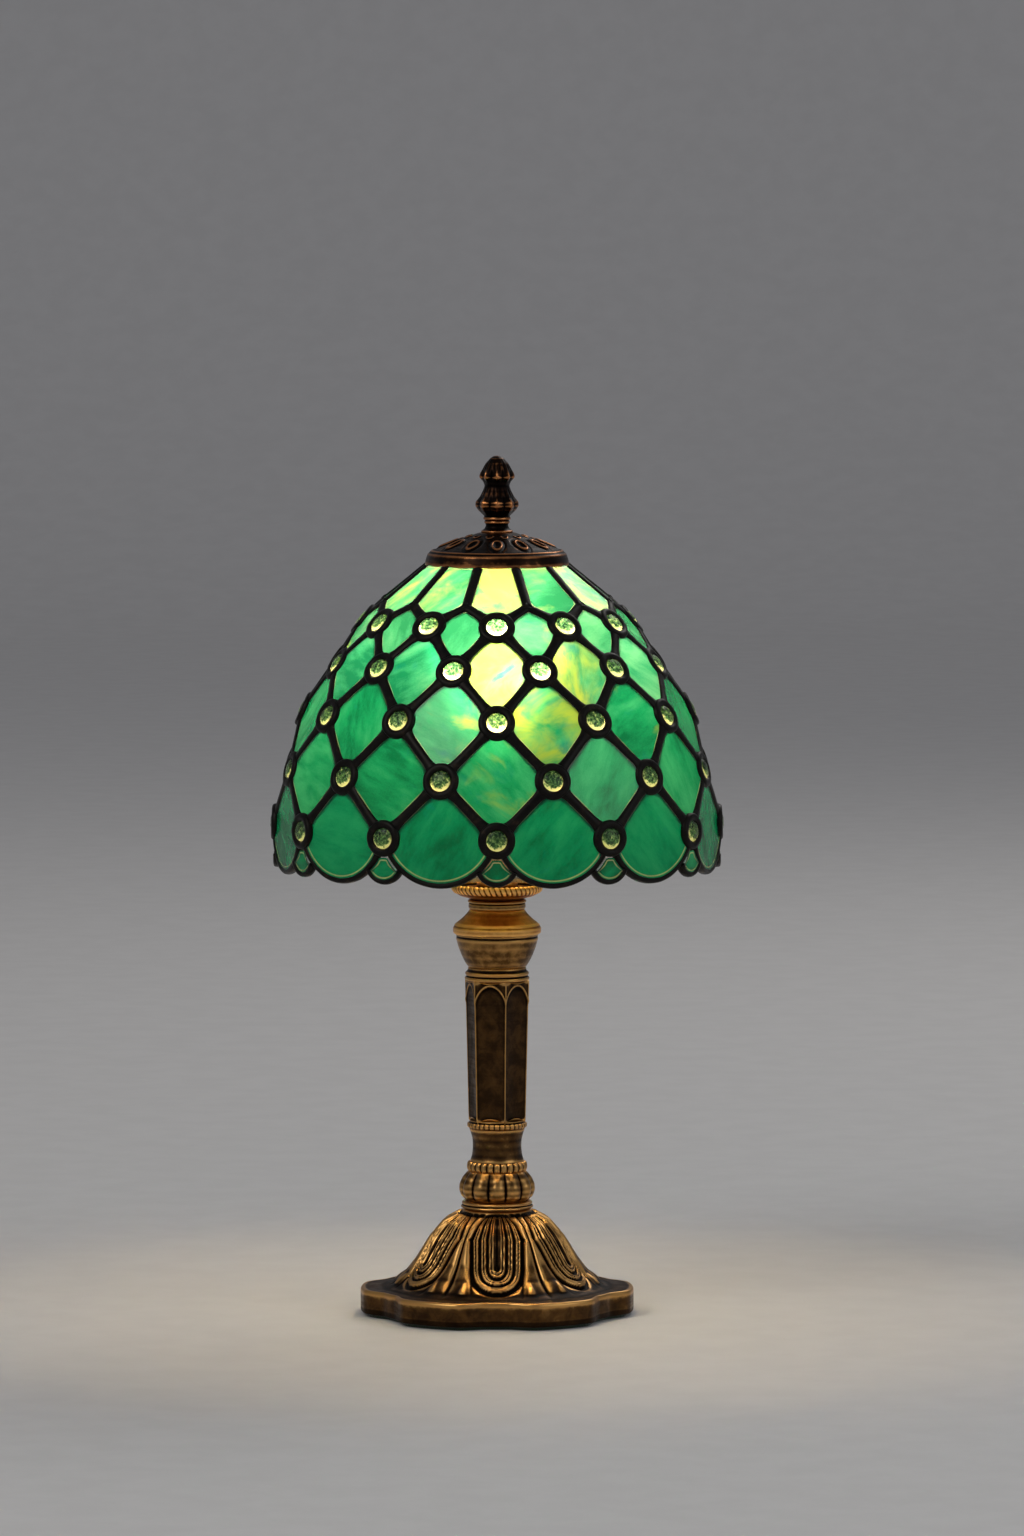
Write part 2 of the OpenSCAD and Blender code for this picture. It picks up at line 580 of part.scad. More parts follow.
// A seam from one point to another, stopping short of each by a trim, square to the shade
module seam(from, to, slope, turn, trim_from, trim_to) {
    along = unit(to - from);
    out = at_turn(sin(slope), turn, cos(slope));
    normal = unit(out - (out * along) * along);
    across = cross(normal, along);
    start = from + along * trim_from;
    multmatrix([[along[0], across[0], normal[0], start[0]],
        [along[1], across[1], normal[1], start[1]],
        [along[2], across[2], normal[2], start[2]],
        [0, 0, 0, 1]])
        translate([0, -seam_w / 2, -seam_depth / 2])
            cube([norm(to - from) - trim_from - trim_to, seam_w, seam_depth]);
}
ring_trim = jewel_r + 0.9;
module seams_below(i) round_the_shade() for (side = [-1, 1]) {
    turn = ring_turn(i);
    seam(at_turn(ring_r(i), turn, ring_z(i)), at_turn(ring_r(i + 1), turn + side * step / 2, ring_z(i + 1)),
        slope_between(i, i + 1), turn + side * step / 4, i == FORK ? -0.5 : ring_trim, ring_trim);
}
module solder_lattice() color("#2a2018") {
    round_the_shade(step / 2) seam(at_turn(ring_r(CROWN), 0, ring_z(CROWN)), at_turn(ring_r(FORK), 0, ring_z(FORK)),
        slope_between(CROWN, FORK), 0, 2, -0.5);
    for (i = [FORK : LAST_JEWEL - 1]) seams_below(i);
    for (i = [FIRST_JEWEL : LAST_JEWEL]) jewel_rings(i);
}

// The wire soldered along the rim: a strip round each scallop, and one round each fan
binding_w = 1.6;
binding_gap = 0.4;
function strip_outline(centre, r, from, to) = concat(arc(centre, r + binding_w, from, to, 16),
    arc(centre, r, to, from, 16));
module rim_binding() color("#33271c") {
    lead_in = scallop_lean + meeting_angle(scallop_reach, scallop_r, jewel_r + 1);
    in_skirt_plane(seam_depth) polygon(strip_outline([0, scallop_y], scallop_r + binding_gap,
        180 + lead_in, 360 - lead_in));
    in_fan_plane(seam_depth) polygon(strip_outline([0, fan_arc_y], fan_arc_r + binding_gap, -152, -28));
}

module crown_ring() color("goldenrod") translate([0, 0, 333.5]) tube(29.4, 27.4, 7.5);

cap_hole_r = stud_r + 0.3;
vase_cap_top_z = 351.6;
module vase_cap() color("#4a3626") difference() {
    turned([[0, seat_z + seat_t], [12, 348], [17, 345.9], [26.5, 341], [30.6, 341], [30.6, 337],
        [32, 337], [32.2, 339.5], [31, 342.5], [24.5, 345.6], [17.5, 348.4], [8, vase_cap_top_z],
        [0, vase_cap_top_z]]);
    cylinder(r = cap_hole_r, h = 400);
}

module finial() color("#4a3626") difference() {
    turned([[0, vase_cap_top_z], [7, vase_cap_top_z], [6.6, 352.8], [5.1, 354], [5.1, 356.6], [6.2, 357.2],
        [6.2, 358], [5.6, 358.8], [7.4, 361], [9.3, 363.4], [9.3, 365.4], [8, 367.6], [6.2, 370.4],
        [5.5, 372.5], [6.4, 374.6], [7.5, 376.6], [7, 379], [5, 382], [2.6, 384.6], [0, 386]]);
    translate([0, 0, vase_cap_top_z - 1]) cylinder(r = stud_r + running, h = stud_top_z + 2 - vase_cap_top_z);
}

felt_pad();
foot_casting();
bottom_washer();
bottom_nut();
cord_bushing();
threaded_pipe();
collar_ring();
gadrooned_knop();
ornamented_collar();
stem_neck();
column_lower_ring();
hex_column();
astragal_ring();
urn_bowl();
urn_rim_band();
urn_cone();
neck_ring();
bobeche();
harp_saddle();
socket_cap();
socket_set_screw();
socket_shell();
socket_liner();
socket_body();
terminal_screws();
screw_shell();
centre_contact();
switch_shaft();
switch_knob();
bulb_screw_base();
bulb_insulator();
bulb_contact();
bulb_glass();
bulb_stem();
bulb_filament();
harp_bow();
harp_stud();
harp_ferrule(-1);  // harp_ferrule_left
harp_ferrule(1);  // harp_ferrule_right
crown_ring();
vase_cap();
finial();
solder_lattice();
rim_binding();
color("#9adcb0") crown_row();  // glass_crown
color("#7fd0a0") diamond_row(FORK);  // glass_shoulder
color("#5cc08c") diamond_row(FIRST_JEWEL);  // glass_upper
color("#34a874") diamond_row(FIRST_JEWEL + 1);  // glass_middle
color("#1e9064") diamond_row(FIRST_JEWEL + 2);  // glass_lower
color("#0f7850") skirt_row();  // glass_skirt
color("#147a54") fan_row();  // glass_fans
jewel_row(FIRST_JEWEL);  // jewels_row_1
jewel_row(FIRST_JEWEL + 1);  // jewels_row_2
jewel_row(FIRST_JEWEL + 2);  // jewels_row_3
jewel_row(FIRST_JEWEL + 3);  // jewels_row_4
jewel_row(LAST_JEWEL);  // jewels_row_5
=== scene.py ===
"""Looks of the leaded stained-glass table lamp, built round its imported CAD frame.

Sizes below are millimetres and degrees, turned into metres as each mesh is made. The lamp's front
is on -Y, and a turn is an angle round the stem from the front towards +X.
"""

import math

import bmesh
import bpy
import numpy as np
from mathutils import Matrix, Vector, noise


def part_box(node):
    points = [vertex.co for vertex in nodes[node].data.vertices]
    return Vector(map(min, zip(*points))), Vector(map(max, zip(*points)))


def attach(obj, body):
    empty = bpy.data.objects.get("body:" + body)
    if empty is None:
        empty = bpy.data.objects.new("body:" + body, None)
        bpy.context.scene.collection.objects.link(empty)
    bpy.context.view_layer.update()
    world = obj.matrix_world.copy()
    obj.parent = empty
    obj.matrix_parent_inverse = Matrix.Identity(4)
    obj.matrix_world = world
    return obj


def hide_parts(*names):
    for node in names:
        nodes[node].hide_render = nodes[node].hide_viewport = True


MM = 0.001
SEED = 20

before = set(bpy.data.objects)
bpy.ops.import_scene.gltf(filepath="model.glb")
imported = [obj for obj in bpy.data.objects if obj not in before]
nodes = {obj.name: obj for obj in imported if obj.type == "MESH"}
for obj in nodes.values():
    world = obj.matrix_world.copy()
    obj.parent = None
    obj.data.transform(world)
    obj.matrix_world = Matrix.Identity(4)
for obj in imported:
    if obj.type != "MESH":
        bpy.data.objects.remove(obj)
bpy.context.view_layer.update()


# ---- Shared mesh tools ----


def grid_faces(rows, columns, wrap_rows=False):
    """Quads over a grid of points, numbered row by row. Its columns close on themselves."""
    row, column = np.meshgrid(
        np.arange(rows if wrap_rows else rows - 1),
        np.arange(columns),
        indexing="ij",
    )
    next_row = (row + 1) % rows * columns
    next_column = (column + 1) % columns
    row = row * columns
    corners = [row + column, row + next_column, next_row + next_column, next_row + column]
    return np.stack([c.ravel() for c in corners], axis=1).tolist()


def joined(parts):
    """One list of points and faces from several, each (points, faces)."""
    points, faces, count = [], [], 0
    for part_points, part_faces in parts:
        points.append(part_points)
        faces += [[i + count for i in face] for face in part_faces]
        count += len(part_points)
    return np.concatenate(points), faces


def add_object(name, data):
    made = bpy.data.objects.new(name, data)
    bpy.context.scene.collection.objects.link(made)
    return made


def add_piece(name, points, faces, body, slot, replaces, values=None, second=(), crease=35):
    """A mesh piece in its slot's materials. values are its named point attributes, and second lists
    the faces of the second material."""
    mesh = bpy.data.meshes.new(name)
    mesh.from_pydata((np.asarray(points, float) * MM).tolist(), [], faces)
    for key, value in (values or {}).items():
        kind, field = ("FLOAT", "value") if value.ndim == 1 else ("FLOAT_VECTOR", "vector")
        attribute = mesh.attributes.new(key, kind, "POINT")
        attribute.data.foreach_set(field, value.astype(np.float32).ravel())
    for material in SLOT_MATERIALS[slot]:
        mesh.materials.append(material)
    for index in second:
        mesh.polygons[index].material_index = 1
    mesh.polygons.foreach_set("use_smooth", [True] * len(mesh.polygons))
    mesh.set_sharp_from_angle(angle=math.radians(crease))
    mesh.update()
    piece = add_object(name, mesh)
    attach(piece, body)
    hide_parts(*replaces)
    return piece


def merge_close(piece):
    """Merges the points that meet at a turned piece's poles."""
    mesh = bmesh.new()
    mesh.from_mesh(piece.data)
    bmesh.ops.remove_doubles(mesh, verts=mesh.verts, dist=1e-6)
    mesh.to_mesh(piece.data)
    mesh.free()


def smoothstep(low, high, value):
    share = np.clip((value - low) / (high - low), 0, 1)
    return share * share * (3 - 2 * share)


def ridge(value, centre, width):
    """A rounded ridge, 1 high at its centre."""
    return np.exp(-(((value - centre) / width) ** 2))


def unit(vectors):
    return vectors / np.linalg.norm(vectors, axis=-1, keepdims=True)


def from_nearest(turn, pitch):
    """A turn measured from the nearest of the places that repeat every pitch."""
    return turn - pitch * np.round(turn / pitch)


def cos_sin(degrees):
    return math.cos(math.radians(degrees)), math.sin(math.radians(degrees))


def full_circle(count):
    return np.linspace(0, 2 * math.pi, count, endpoint=False)


def turned_by(points, turn):
    """Points turned about the stem."""
    c, s = cos_sin(turn)
    x, y, z = points[..., 0], points[..., 1], points[..., 2]
    return np.stack([x * c - y * s, x * s + y * c, z], axis=-1)


def resampled(outline, spacing, closed=True):
    """Evenly spaced points along an outline."""
    outline = np.asarray(outline, float)
    if closed:
        outline = np.vstack([outline, outline[:1]])
    steps = np.linalg.norm(np.diff(outline, axis=0), axis=1)
    distance = np.concatenate([[0], np.cumsum(steps)])
    count = max(8, int(distance[-1] / spacing))
    at = np.linspace(0, distance[-1], count, endpoint=not closed)
    return np.stack([np.interp(at, distance, values) for values in outline.T], axis=1)


def rounded(outline, passes, closed=True):
    """An outline with its corners softened."""
    for _ in range(passes):
        soft = (np.roll(outline, 1, axis=0) + 2 * outline + np.roll(outline, -1, axis=0)) / 4
        if not closed:
            soft[0], soft[-1] = outline[0], outline[-1]
        outline = soft
    return outline


def along_path(path, closed):
    """The direction of a path at each of its points."""
    if closed:
        return unit(np.roll(path, -1, axis=0) - np.roll(path, 1, axis=0))
    return unit(np.gradient(path, axis=0))


def raised(low, outline):
    """An outline's (radius, height) points, with their heights measured from low."""
    return [(r, low + height) for r, height in outline]


# ---- Turned and cast metal ----

BORE = 5.1          # radius of the hole through the turned pieces
WEAR_SPREAD = 0.26  # standing this much more proud takes a point from no wear to full wear
WEAR_PASSES = 7
# A wear value a little below plain metal's, for the painted shade along the foot's base
DARK_BASE_WEAR = 0.4


def round_stem(turn, radius, height):
    return np.stack([radius * np.sin(turn), -radius * np.cos(turn), height], axis=-1)


def lathe(outline, relief=None, columns=160, spacing=0.4, passes=2, closed=True, warp=None):
    """A surface turned round Z, as its points, its faces and the wear of each point.

    outline is (radius, height) points. relief(turn, radius, height) stands the surface off along
    its normal, and warp(turn, radius) then moves its radius.
    """
    profile = rounded(resampled(outline, spacing, closed), passes, closed)
    along = along_path(profile, closed)
    turn = full_circle(columns)[None, :]
    radius, height = profile[:, 0:1] + 0 * turn, profile[:, 1:2] + 0 * turn
    if relief is not None:
        rise = relief(turn + 0 * radius, radius, height)
        radius, height = radius + along[:, 1:2] * rise, height - along[:, 0:1] * rise
    wear = wear_of(round_stem(turn, radius, height), closed)
    if warp is not None:
        radius = warp(turn, radius)
    points = round_stem(turn, radius, height)
    faces = grid_faces(len(profile), columns, wrap_rows=closed)
    return points.reshape(-1, 3), faces, wear.ravel()


def wear_of(points, closed):
    """How proud each point of a grid stands of the surface near it: 0 in a groove, 1 on an edge."""
    if not closed:
        points = np.concatenate([points[:1], points, points[-1:]])
    soft = points
    for _ in range(WEAR_PASSES):
        soft = sum(np.roll(soft, step, axis) for axis in (0, 1) for step in (1, -1)) / 4
    around, up = (np.roll(points, -1, axis) - np.roll(points, 1, axis) for axis in (1, 0))
    normal = np.cross(around, up)
    normal = normal / np.maximum(np.linalg.norm(normal, axis=-1, keepdims=True), 1e-9)
    wear = np.clip(0.5 + ((points - soft) * normal).sum(-1) / WEAR_SPREAD, 0, 1)
    return wear if closed else wear[1:-1]


def height_of(node):
    low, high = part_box(node)
    return low.z / MM, high.z / MM


def turned_piece(name, node, slot, outline, body="base", crease=35, **how):
    """A turned piece in place of one CAD node. how says how lathe makes it."""
    points, faces, wear = lathe(outline, **how)
    return add_piece(name, points, faces, body, slot, [node], {"wear": wear}, crease=crease)


def beads(count, height, low, high, sharp=1.0):
    """A relief of beads round the lamp, on the points whose radius is from low to high."""
    def relief(turn, radius, _height):
        return height * np.abs(np.cos(turn * count / 2)) ** sharp * smoothstep(low, high, radius)
    return relief


# ---- Materials ----


def look(surface):
    """Turns surface(tree, ...), which makes shader nodes and returns the last one's output, into a
    function of a name and the same values that makes the material."""
    def material_of(name, *values):
        material = bpy.data.materials.new(name)
        material.use_nodes = True
        tree = material.node_tree
        tree.nodes.clear()
        add_node(tree, "OutputMaterial", {"Surface": surface(tree, *values)})
        return material
    return material_of


def add_node(tree, kind, inputs=None, **settings):
    """A shader node. inputs maps a socket's name or number to a constant or another's socket."""
    made = tree.nodes.new("ShaderNode" + kind)
    for key, value in settings.items():
        setattr(made, key, value)
    for key, value in (inputs or {}).items():
        if isinstance(value, bpy.types.NodeSocket):
            tree.links.new(value, made.inputs[key])
        else:
            made.inputs[key].default_value = value
    return made


def output_of(tree, kind, inputs=None, **settings):
    return add_node(tree, kind, inputs, **settings).outputs[0]


def attribute_of(tree, name, output="Fac"):
    return add_node(tree, "Attribute", attribute_name=name).outputs[output]


def place(tree, stretch=(1, 1, 1)):
    """The point's place in its piece's own axes, in metres, stretched."""
    here = add_node(tree, "TexCoord").outputs["Object"]
    return output_of(tree, "Mapping", {"Vector": here, "Scale": stretch})


def noisy(tree, scale, detail=4.0, roughness=0.55, distortion=0.0, at=None):
    inputs = {"Vector": place(tree) if at is None else at, "Scale": scale, "Detail": detail,
              "Roughness": roughness, "Distortion": distortion}
    return output_of(tree, "TexNoise", inputs)


def streaks(tree, stretch, *settings):
    """Noise on the point's own pane of glass, stretched along and across the pane's grain."""
    inputs = {"Vector": attribute_of(tree, "grain", "Vector"), "Scale": stretch}
    return noisy(tree, *settings, at=output_of(tree, "Mapping", inputs))


def math_of(tree, operation, a, b):
    return output_of(tree, "Math", {0: a, 1: b}, operation=operation)


def ranged(tree, value, low, high, to_low=0.0, to_high=1.0):
    inputs = {0: value, 1: low, 2: high, 3: to_low, 4: to_high}
    return output_of(tree, "MapRange", inputs, interpolation_type="SMOOTHSTEP")


def shifted(tree, factor, value, low, high, to_low, to_high):
    """A factor moved by up to to_low or to_high, as value goes from low to high."""
    return math_of(tree, "ADD", factor, ranged(tree, value, low, high, to_low, to_high))


def ramp(tree, factor, stops):
    """A colour ramp. stops is a list of (place, colour)."""
    made = add_node(tree, "ValToRGB", {"Fac": factor})
    elements = made.color_ramp.elements
    while len(elements) < len(stops):
        elements.new(0.5)
    for element, (at, colour) in zip(elements, stops):
        element.position = at
        element.color = (*colour, 1)
    return made.outputs["Color"]


def mixed(tree, factor, a, b, blend="MIX"):
    """Two colours mixed. Either may be a socket or three numbers."""
    a, b = (side if isinstance(side, bpy.types.NodeSocket) else (*side, 1) for side in (a, b))
    inputs = {0: factor, 6: a, 7: b}
    return add_node(tree, "Mix", inputs, data_type="RGBA", blend_type=blend).outputs[2]


def bumped(tree, height, strength, distance):
    inputs = {"Height": height, "Strength": strength, "Distance": distance * MM}
    return output_of(tree, "Bump", inputs)


def principled(tree, colour, roughness, **others):
    inputs = {"Base Color": colour, "Roughness": roughness, **others}
    return output_of(tree, "BsdfPrincipled", inputs)


def lit_through(tree, colour, normal, clearness, roughness, index):
    """Glass that spreads the light behind it. clearness is how much of the bulb shows through."""
    through = output_of(tree, "BsdfTranslucent", {"Color": colour})
    clear = {"Color": colour, "Roughness": roughness, "IOR": index, "Normal": normal}
    return blended(tree, clearness, through, output_of(tree, "BsdfRefraction", clear))


def blended(tree, factor, a, b):
    """Two shaders mixed."""
    return output_of(tree, "MixShader", {0: factor, 1: a, 2: b})


def glossed(tree, body, normal, index, roughness):
    """A shader under a clear gloss. index is the gloss's refractive index."""
    gloss = output_of(tree, "BsdfGlossy", {"Roughness": roughness, "Normal": normal})
    fresnel = output_of(tree, "Fresnel", {"IOR": index, "Normal": normal})
    return blended(tree, fresnel, body, gloss)


@look
def cast_bronze(tree, recess, body, worn, bright, roughness, brushed):
    """Cast metal with a dark patina in its recesses, worn bright on whatever stands proud."""
    wear = attribute_of(tree, "wear")
    mottle = noisy(tree, 170, 6, 0.62, 0.4)
    patches = noisy(tree, 45, 3)
    brush = noisy(tree, 1.0, 3, 0.6, at=place(tree, (60, 60, 900)))
    factor = shifted(tree, wear, mottle, 0.3, 0.7, -0.07, 0.07)
    factor = shifted(tree, factor, patches, 0.3, 0.7, -0.03, 0.03)
    colour = ramp(tree, factor, [(0.22, recess), (0.46, body), (0.62, worn), (0.86, bright)])
    colour = mixed(tree, ranged(tree, brush, 0.35, 0.7, 0, brushed), colour, body, "SCREEN")
    rough = ranged(tree, shifted(tree, factor, brush, 0.3, 0.7, -0.1, 0.1), 0.3, 0.75, *roughness)
    grain = shifted(tree, noisy(tree, 900, 5, 0.6), brush, 0, 1, 0, 0.8)
    return principled(tree, colour, rough, Metallic=1.0, Normal=bumped(tree, grain, 0.35, 0.12))


@look
def machined_metal(tree, colour, tarnish, roughness):
    """Turned or drawn sheet metal, with fine tool lines and a little tarnish."""
    line = noisy(tree, 1.0, 2, at=place(tree, (900, 900, 60)))
    cloud = noisy(tree, 120, 5, 0.6)
    shade = mixed(tree, ranged(tree, cloud, 0.45, 0.75, 0, 0.7), colour, tarnish)
    rough = math_of(tree, "ADD", line, cloud)
    rough = ranged(tree, rough, 0.7, 1.3, roughness * 0.75, roughness * 1.3)
    return principled(tree, shade, rough, Metallic=1.0, Normal=bumped(tree, line, 0.2, 0.05))


@look
def matt_solid(tree, colour, other, scale, roughness, bump=0.3, depth=0.15, sheen=0.0):
    """Plastic, fibre, felt or plain glass: two close tones in a fine grain."""
    grain = noisy(tree, scale, 6, 0.65)
    shade = mixed(tree, ranged(tree, grain, 0.35, 0.65), colour, other)
    rough = ranged(tree, grain, 0.3, 0.7, roughness * 0.85, min(1.0, roughness * 1.15))
    normal = bumped(tree, grain, bump, depth)
    return principled(tree, shade, rough, Normal=normal, **{"Sheen Weight": sheen})


@look
def leading(tree):
    """Solder with a near-black brown patina, lighter in patches."""
    mottle = noisy(tree, 260, 6, 0.65)
    colour = ramp(tree, mottle, [(0.3, (0.003, 0.0025, 0.002)), (0.58, (0.009, 0.007, 0.005)),
                                 (0.82, (0.05, 0.03, 0.016))])
    rough = ranged(tree, mottle, 0.3, 0.75, 0.34, 0.58)
    normal = bumped(tree, noisy(tree, 420, 4), 0.3, 0.25)
    return principled(tree, colour, rough, Metallic=0.75, Normal=normal)


PAINTED_EDGE_LIGHT_AT = 1.05  # of the pale line of painted light that runs round each pane near its edge, in millimetres
PAINTED_EDGE_LIGHT_WIDTH = 0.5
PAINTED_EDGE_LIGHT_COLOUR = (0.55, 0.62, 0.36)
TEAL = (0.0, 0.2, 0.22)
MILK = (0.8, 0.7, 0.55)


def glass_colour(tree, deep, middle, pale, warm):
    """Streaky opal colour: clouds of three greens, with warm and teal streaks where the pane's
    warmth asks for them."""
    warmth = attribute_of(tree, "warmth")
    tone = attribute_of(tree, "tone")
    cloud = streaks(tree, (0.45, 0.85, 1), 0.8, 3, 0.5, 0.5)
    wisp = streaks(tree, (0.5, 1.7, 1), 1.2, 6, 0.62, 0.3)
    speck = streaks(tree, (1, 1.4, 1), 11, 4, 0.7)
    factor = shifted(tree, cloud, wisp, 0.3, 0.7, -0.08, 0.08)
    factor = shifted(tree, factor, speck, 0.3, 0.7, -0.035, 0.035)
    factor = shifted(tree, factor, tone, 0, 1, -0.1, 0.1)
    colour = ramp(tree, factor, [(0.3, deep), (0.5, middle), (0.76, pale)])
    streak = streaks(tree, (0.6, 1.0, 1.9), 0.75, 4, 0.55, 0.6)
    reach = shifted(tree, streak, warmth, 0, 1, -0.25, 0.14)
    colour = mixed(tree, ranged(tree, reach, 0.45, 0.75, 0, 0.9), colour, warm)
    streak = streaks(tree, (0.7, 0.9, 2.7), 1.0, 4, 0.55, 0.5)
    reach = shifted(tree, streak, warmth, 0, 1, -0.08, 0.05)
    return mixed(tree, ranged(tree, reach, 0.54, 0.78, 0, 0.7), colour, TEAL)


@look
def pane_glass(tree, deep, middle, pale, warm, clearness):
    """The outer face of a pane: streaky opal glass that spreads the bulb's light, with a pale line of
    painted light near its edge and a gloss on it. clearness is how much of the bulb itself shows
    through."""
    colour = glass_colour(tree, deep, middle, pale, warm)
    # A pale line of painted light runs round each pane, a little in from its edge
    line = math_of(tree, "SUBTRACT", attribute_of(tree, "edge"), PAINTED_EDGE_LIGHT_AT)
    line = ranged(tree, math_of(tree, "ABSOLUTE", line, 0.0), 0.0, PAINTED_EDGE_LIGHT_WIDTH, 0.55, 0.0)
    colour = mixed(tree, line, colour, PAINTED_EDGE_LIGHT_COLOUR)
    ripple = streaks(tree, (1, 2.2, 1), 1.2, 3, 0.5, 0.3)
    normal = bumped(tree, ripple, 0.5, 0.5)
    body = lit_through(tree, colour, normal, clearness, 0.52, 1.25)
    body = blended(tree, 0.13, body, output_of(tree, "BsdfDiffuse", {"Color": colour}))
    return glossed(tree, body, normal, 1.45, 0.16)


@look
def pane_back(tree, deep, middle, pale, warm):
    """The inner face and edges of a pane: mostly clear to the bulb, and a milky version of the same
    streaks from inside."""
    colour = glass_colour(tree, deep, middle, pale, warm)
    clear = output_of(tree, "BsdfTransparent")
    through = output_of(tree, "BsdfTranslucent", {"Color": colour})
    milky = mixed(tree, 0.6, colour, MILK)
    face = output_of(tree, "BsdfDiffuse", {"Color": milky})
    return blended(tree, 0.34, clear, blended(tree, 0.6, through, face))


@look
def jewel_glass(tree):
    """Pressed yellow-green glass with a crazed inside, and a painted highlight round its rim that is
    strongest on its lower side.
    """
    inputs = {"Vector": place(tree), "Scale": 780.0, "Randomness": 1.0}
    crystals = output_of(tree, "TexVoronoi", inputs, feature="F1")
    cloud = noisy(tree, 620, 5, 0.7, 1.2)
    factor = shifted(tree, cloud, crystals, 0.2, 0.8, -0.08, 0.08)
    # rim carries a painted highlight: paler towards the jewel's edge, most on its lower side
    factor = shifted(tree, factor, attribute_of(tree, "rim"), 0.5, 1.05, -0.08, 0.36)
    colour = ramp(tree, factor, [(0.34, (0.01, 0.05, 0.025)), (0.54, (0.09, 0.22, 0.09)),
                                 (0.72, (0.7, 0.8, 0.5))])
    normal = bumped(tree, cloud, 0.6, 0.4)
    body = lit_through(tree, colour, normal, 0.45, 0.2, 1.3)
    return glossed(tree, body, normal, 1.5, 0.07)


@look
def jewel_back(tree):
    """The flat back of a jewel: mostly clear to the bulb."""
    cloud = noisy(tree, 500, 4)
    colour = ramp(tree, cloud, [(0.35, (0.2, 0.3, 0.08)), (0.7, (0.75, 0.85, 0.45))])
    clear = output_of(tree, "BsdfTransparent")
    through = output_of(tree, "BsdfTranslucent", {"Color": colour})
    return blended(tree, 0.3, clear, through)


BULB_STRENGTH = 38.0
GLOW_FROM_Z = 0.25     # height of the bulb's neck, in metres
FULL_GLOW_Z = 0.275
FULL_COLOUR_Z = 0.285


@look
def lit_glass(tree):
    """The bulb's frosted glass, lit: warm at the neck and brightest at the belly."""
    height = add_node(tree, "SeparateXYZ", {0: place(tree)}).outputs[2]
    frost = noisy(tree, 90, 4)
    belly = ranged(tree, height, GLOW_FROM_Z, FULL_COLOUR_Z)
    colour = ramp(tree, belly, [(0.0, (1.0, 0.55, 0.24)), (1.0, (1.0, 0.78, 0.48))])
    strength = ranged(tree, height, GLOW_FROM_Z, FULL_GLOW_Z, BULB_STRENGTH * 0.35, BULB_STRENGTH)
    strength = math_of(tree, "MULTIPLY", strength, ranged(tree, frost, 0.2, 0.8, 0.92, 1.08))
    glow = output_of(tree, "Emission", {"Color": colour, "Strength": strength})
    skin = principled(tree, colour, 0.35)
    return output_of(tree, "AddShader", {0: glow, 1: skin})


# Colours in the recesses, of the body, worn and bright, then roughness from recess to edge, and
# how far the brush lines show
BRONZES = {
    "antique_bronze": ((0.004, 0.0025, 0.0015), (0.035, 0.018, 0.008), (0.11, 0.055, 0.018),
                       (0.6, 0.33, 0.105), (0.56, 0.32), 0.12),
    # This bronze is far brighter and more orange than the rest: partly the gilding's colour, partly
    # painted warm light from the bulb
    "gilt_bronze": ((0.01, 0.004, 0.002), (0.3, 0.1, 0.018), (0.58, 0.22, 0.04),
                    (1.0, 0.55, 0.16), (0.5, 0.36), 0.1),
    "dark_bronze": ((0.002, 0.0015, 0.0015), (0.008, 0.005, 0.004), (0.024, 0.011, 0.006),
                    (0.5, 0.2, 0.07), (0.5, 0.3), 0.0),
}
# Deep, middle, pale and warm colours of the glass in each slot, and its clearness
GLASS = {
    "glass_crown": ((0.015, 0.19, 0.09), (0.04, 0.29, 0.15), (0.1, 0.39, 0.22),
                    (0.4, 0.56, 0.12), 0.08),
    "glass_upper": ((0.006, 0.22, 0.11), (0.035, 0.37, 0.2), (0.13, 0.52, 0.31),
                    (0.42, 0.58, 0.09), 0.25),
    "glass_middle": ((0.0, 0.16, 0.07), (0.006, 0.29, 0.13), (0.035, 0.4, 0.2),
                     (0.3, 0.46, 0.06), 0.2),
    "glass_skirt": ((0.0, 0.13, 0.06), (0.0, 0.22, 0.11), (0.01, 0.3, 0.15),
                    (0.08, 0.3, 0.04), 0.2),
}
SLOT_MATERIALS = {
    "jewel": [jewel_glass("jewel_glass"), jewel_back("jewel_glass_back")],
    "solder": [leading("patinated_solder")],
    "bulb_glass": [lit_glass("lit_bulb_glass")],
}
for slot, values in BRONZES.items():
    SLOT_MATERIALS[slot] = [cast_bronze(slot, *values)]
for slot, values in GLASS.items():
    SLOT_MATERIALS[slot] = [pane_glass(slot, *values), pane_back(slot + "_back", *values[:4])]

BRASS = machined_metal("brass", (0.76, 0.54, 0.22), (0.4, 0.24, 0.08), 0.26)
NICKEL = machined_metal("nickel", (0.68, 0.66, 0.62), (0.42, 0.4, 0.36), 0.22)
STEEL = machined_metal("zinc_steel", (0.5, 0.5, 0.49), (0.3, 0.29, 0.27), 0.38)
FILAMENT = machined_metal("filament_metal", (0.9, 0.55, 0.25), (0.5, 0.25, 0.1), 0.4)
BLACK = matt_solid("black_moulding", (0.012, 0.012, 0.013), (0.022, 0.021, 0.02), 1400, 0.42, 0.2, 0.04)
FIBRE = matt_solid("pressed_fibre", (0.36, 0.25, 0.13), (0.5, 0.38, 0.22), 700, 0.85)
FELT = matt_solid("green_felt", (0.012, 0.03, 0.014), (0.03, 0.06, 0.03), 2600, 0.95, 0.8, 0.25, 0.6)
CLEAR = matt_solid("mount_glass", (0.75, 0.82, 0.8), (0.85, 0.9, 0.88), 300, 0.12, 0.1, 0.02)

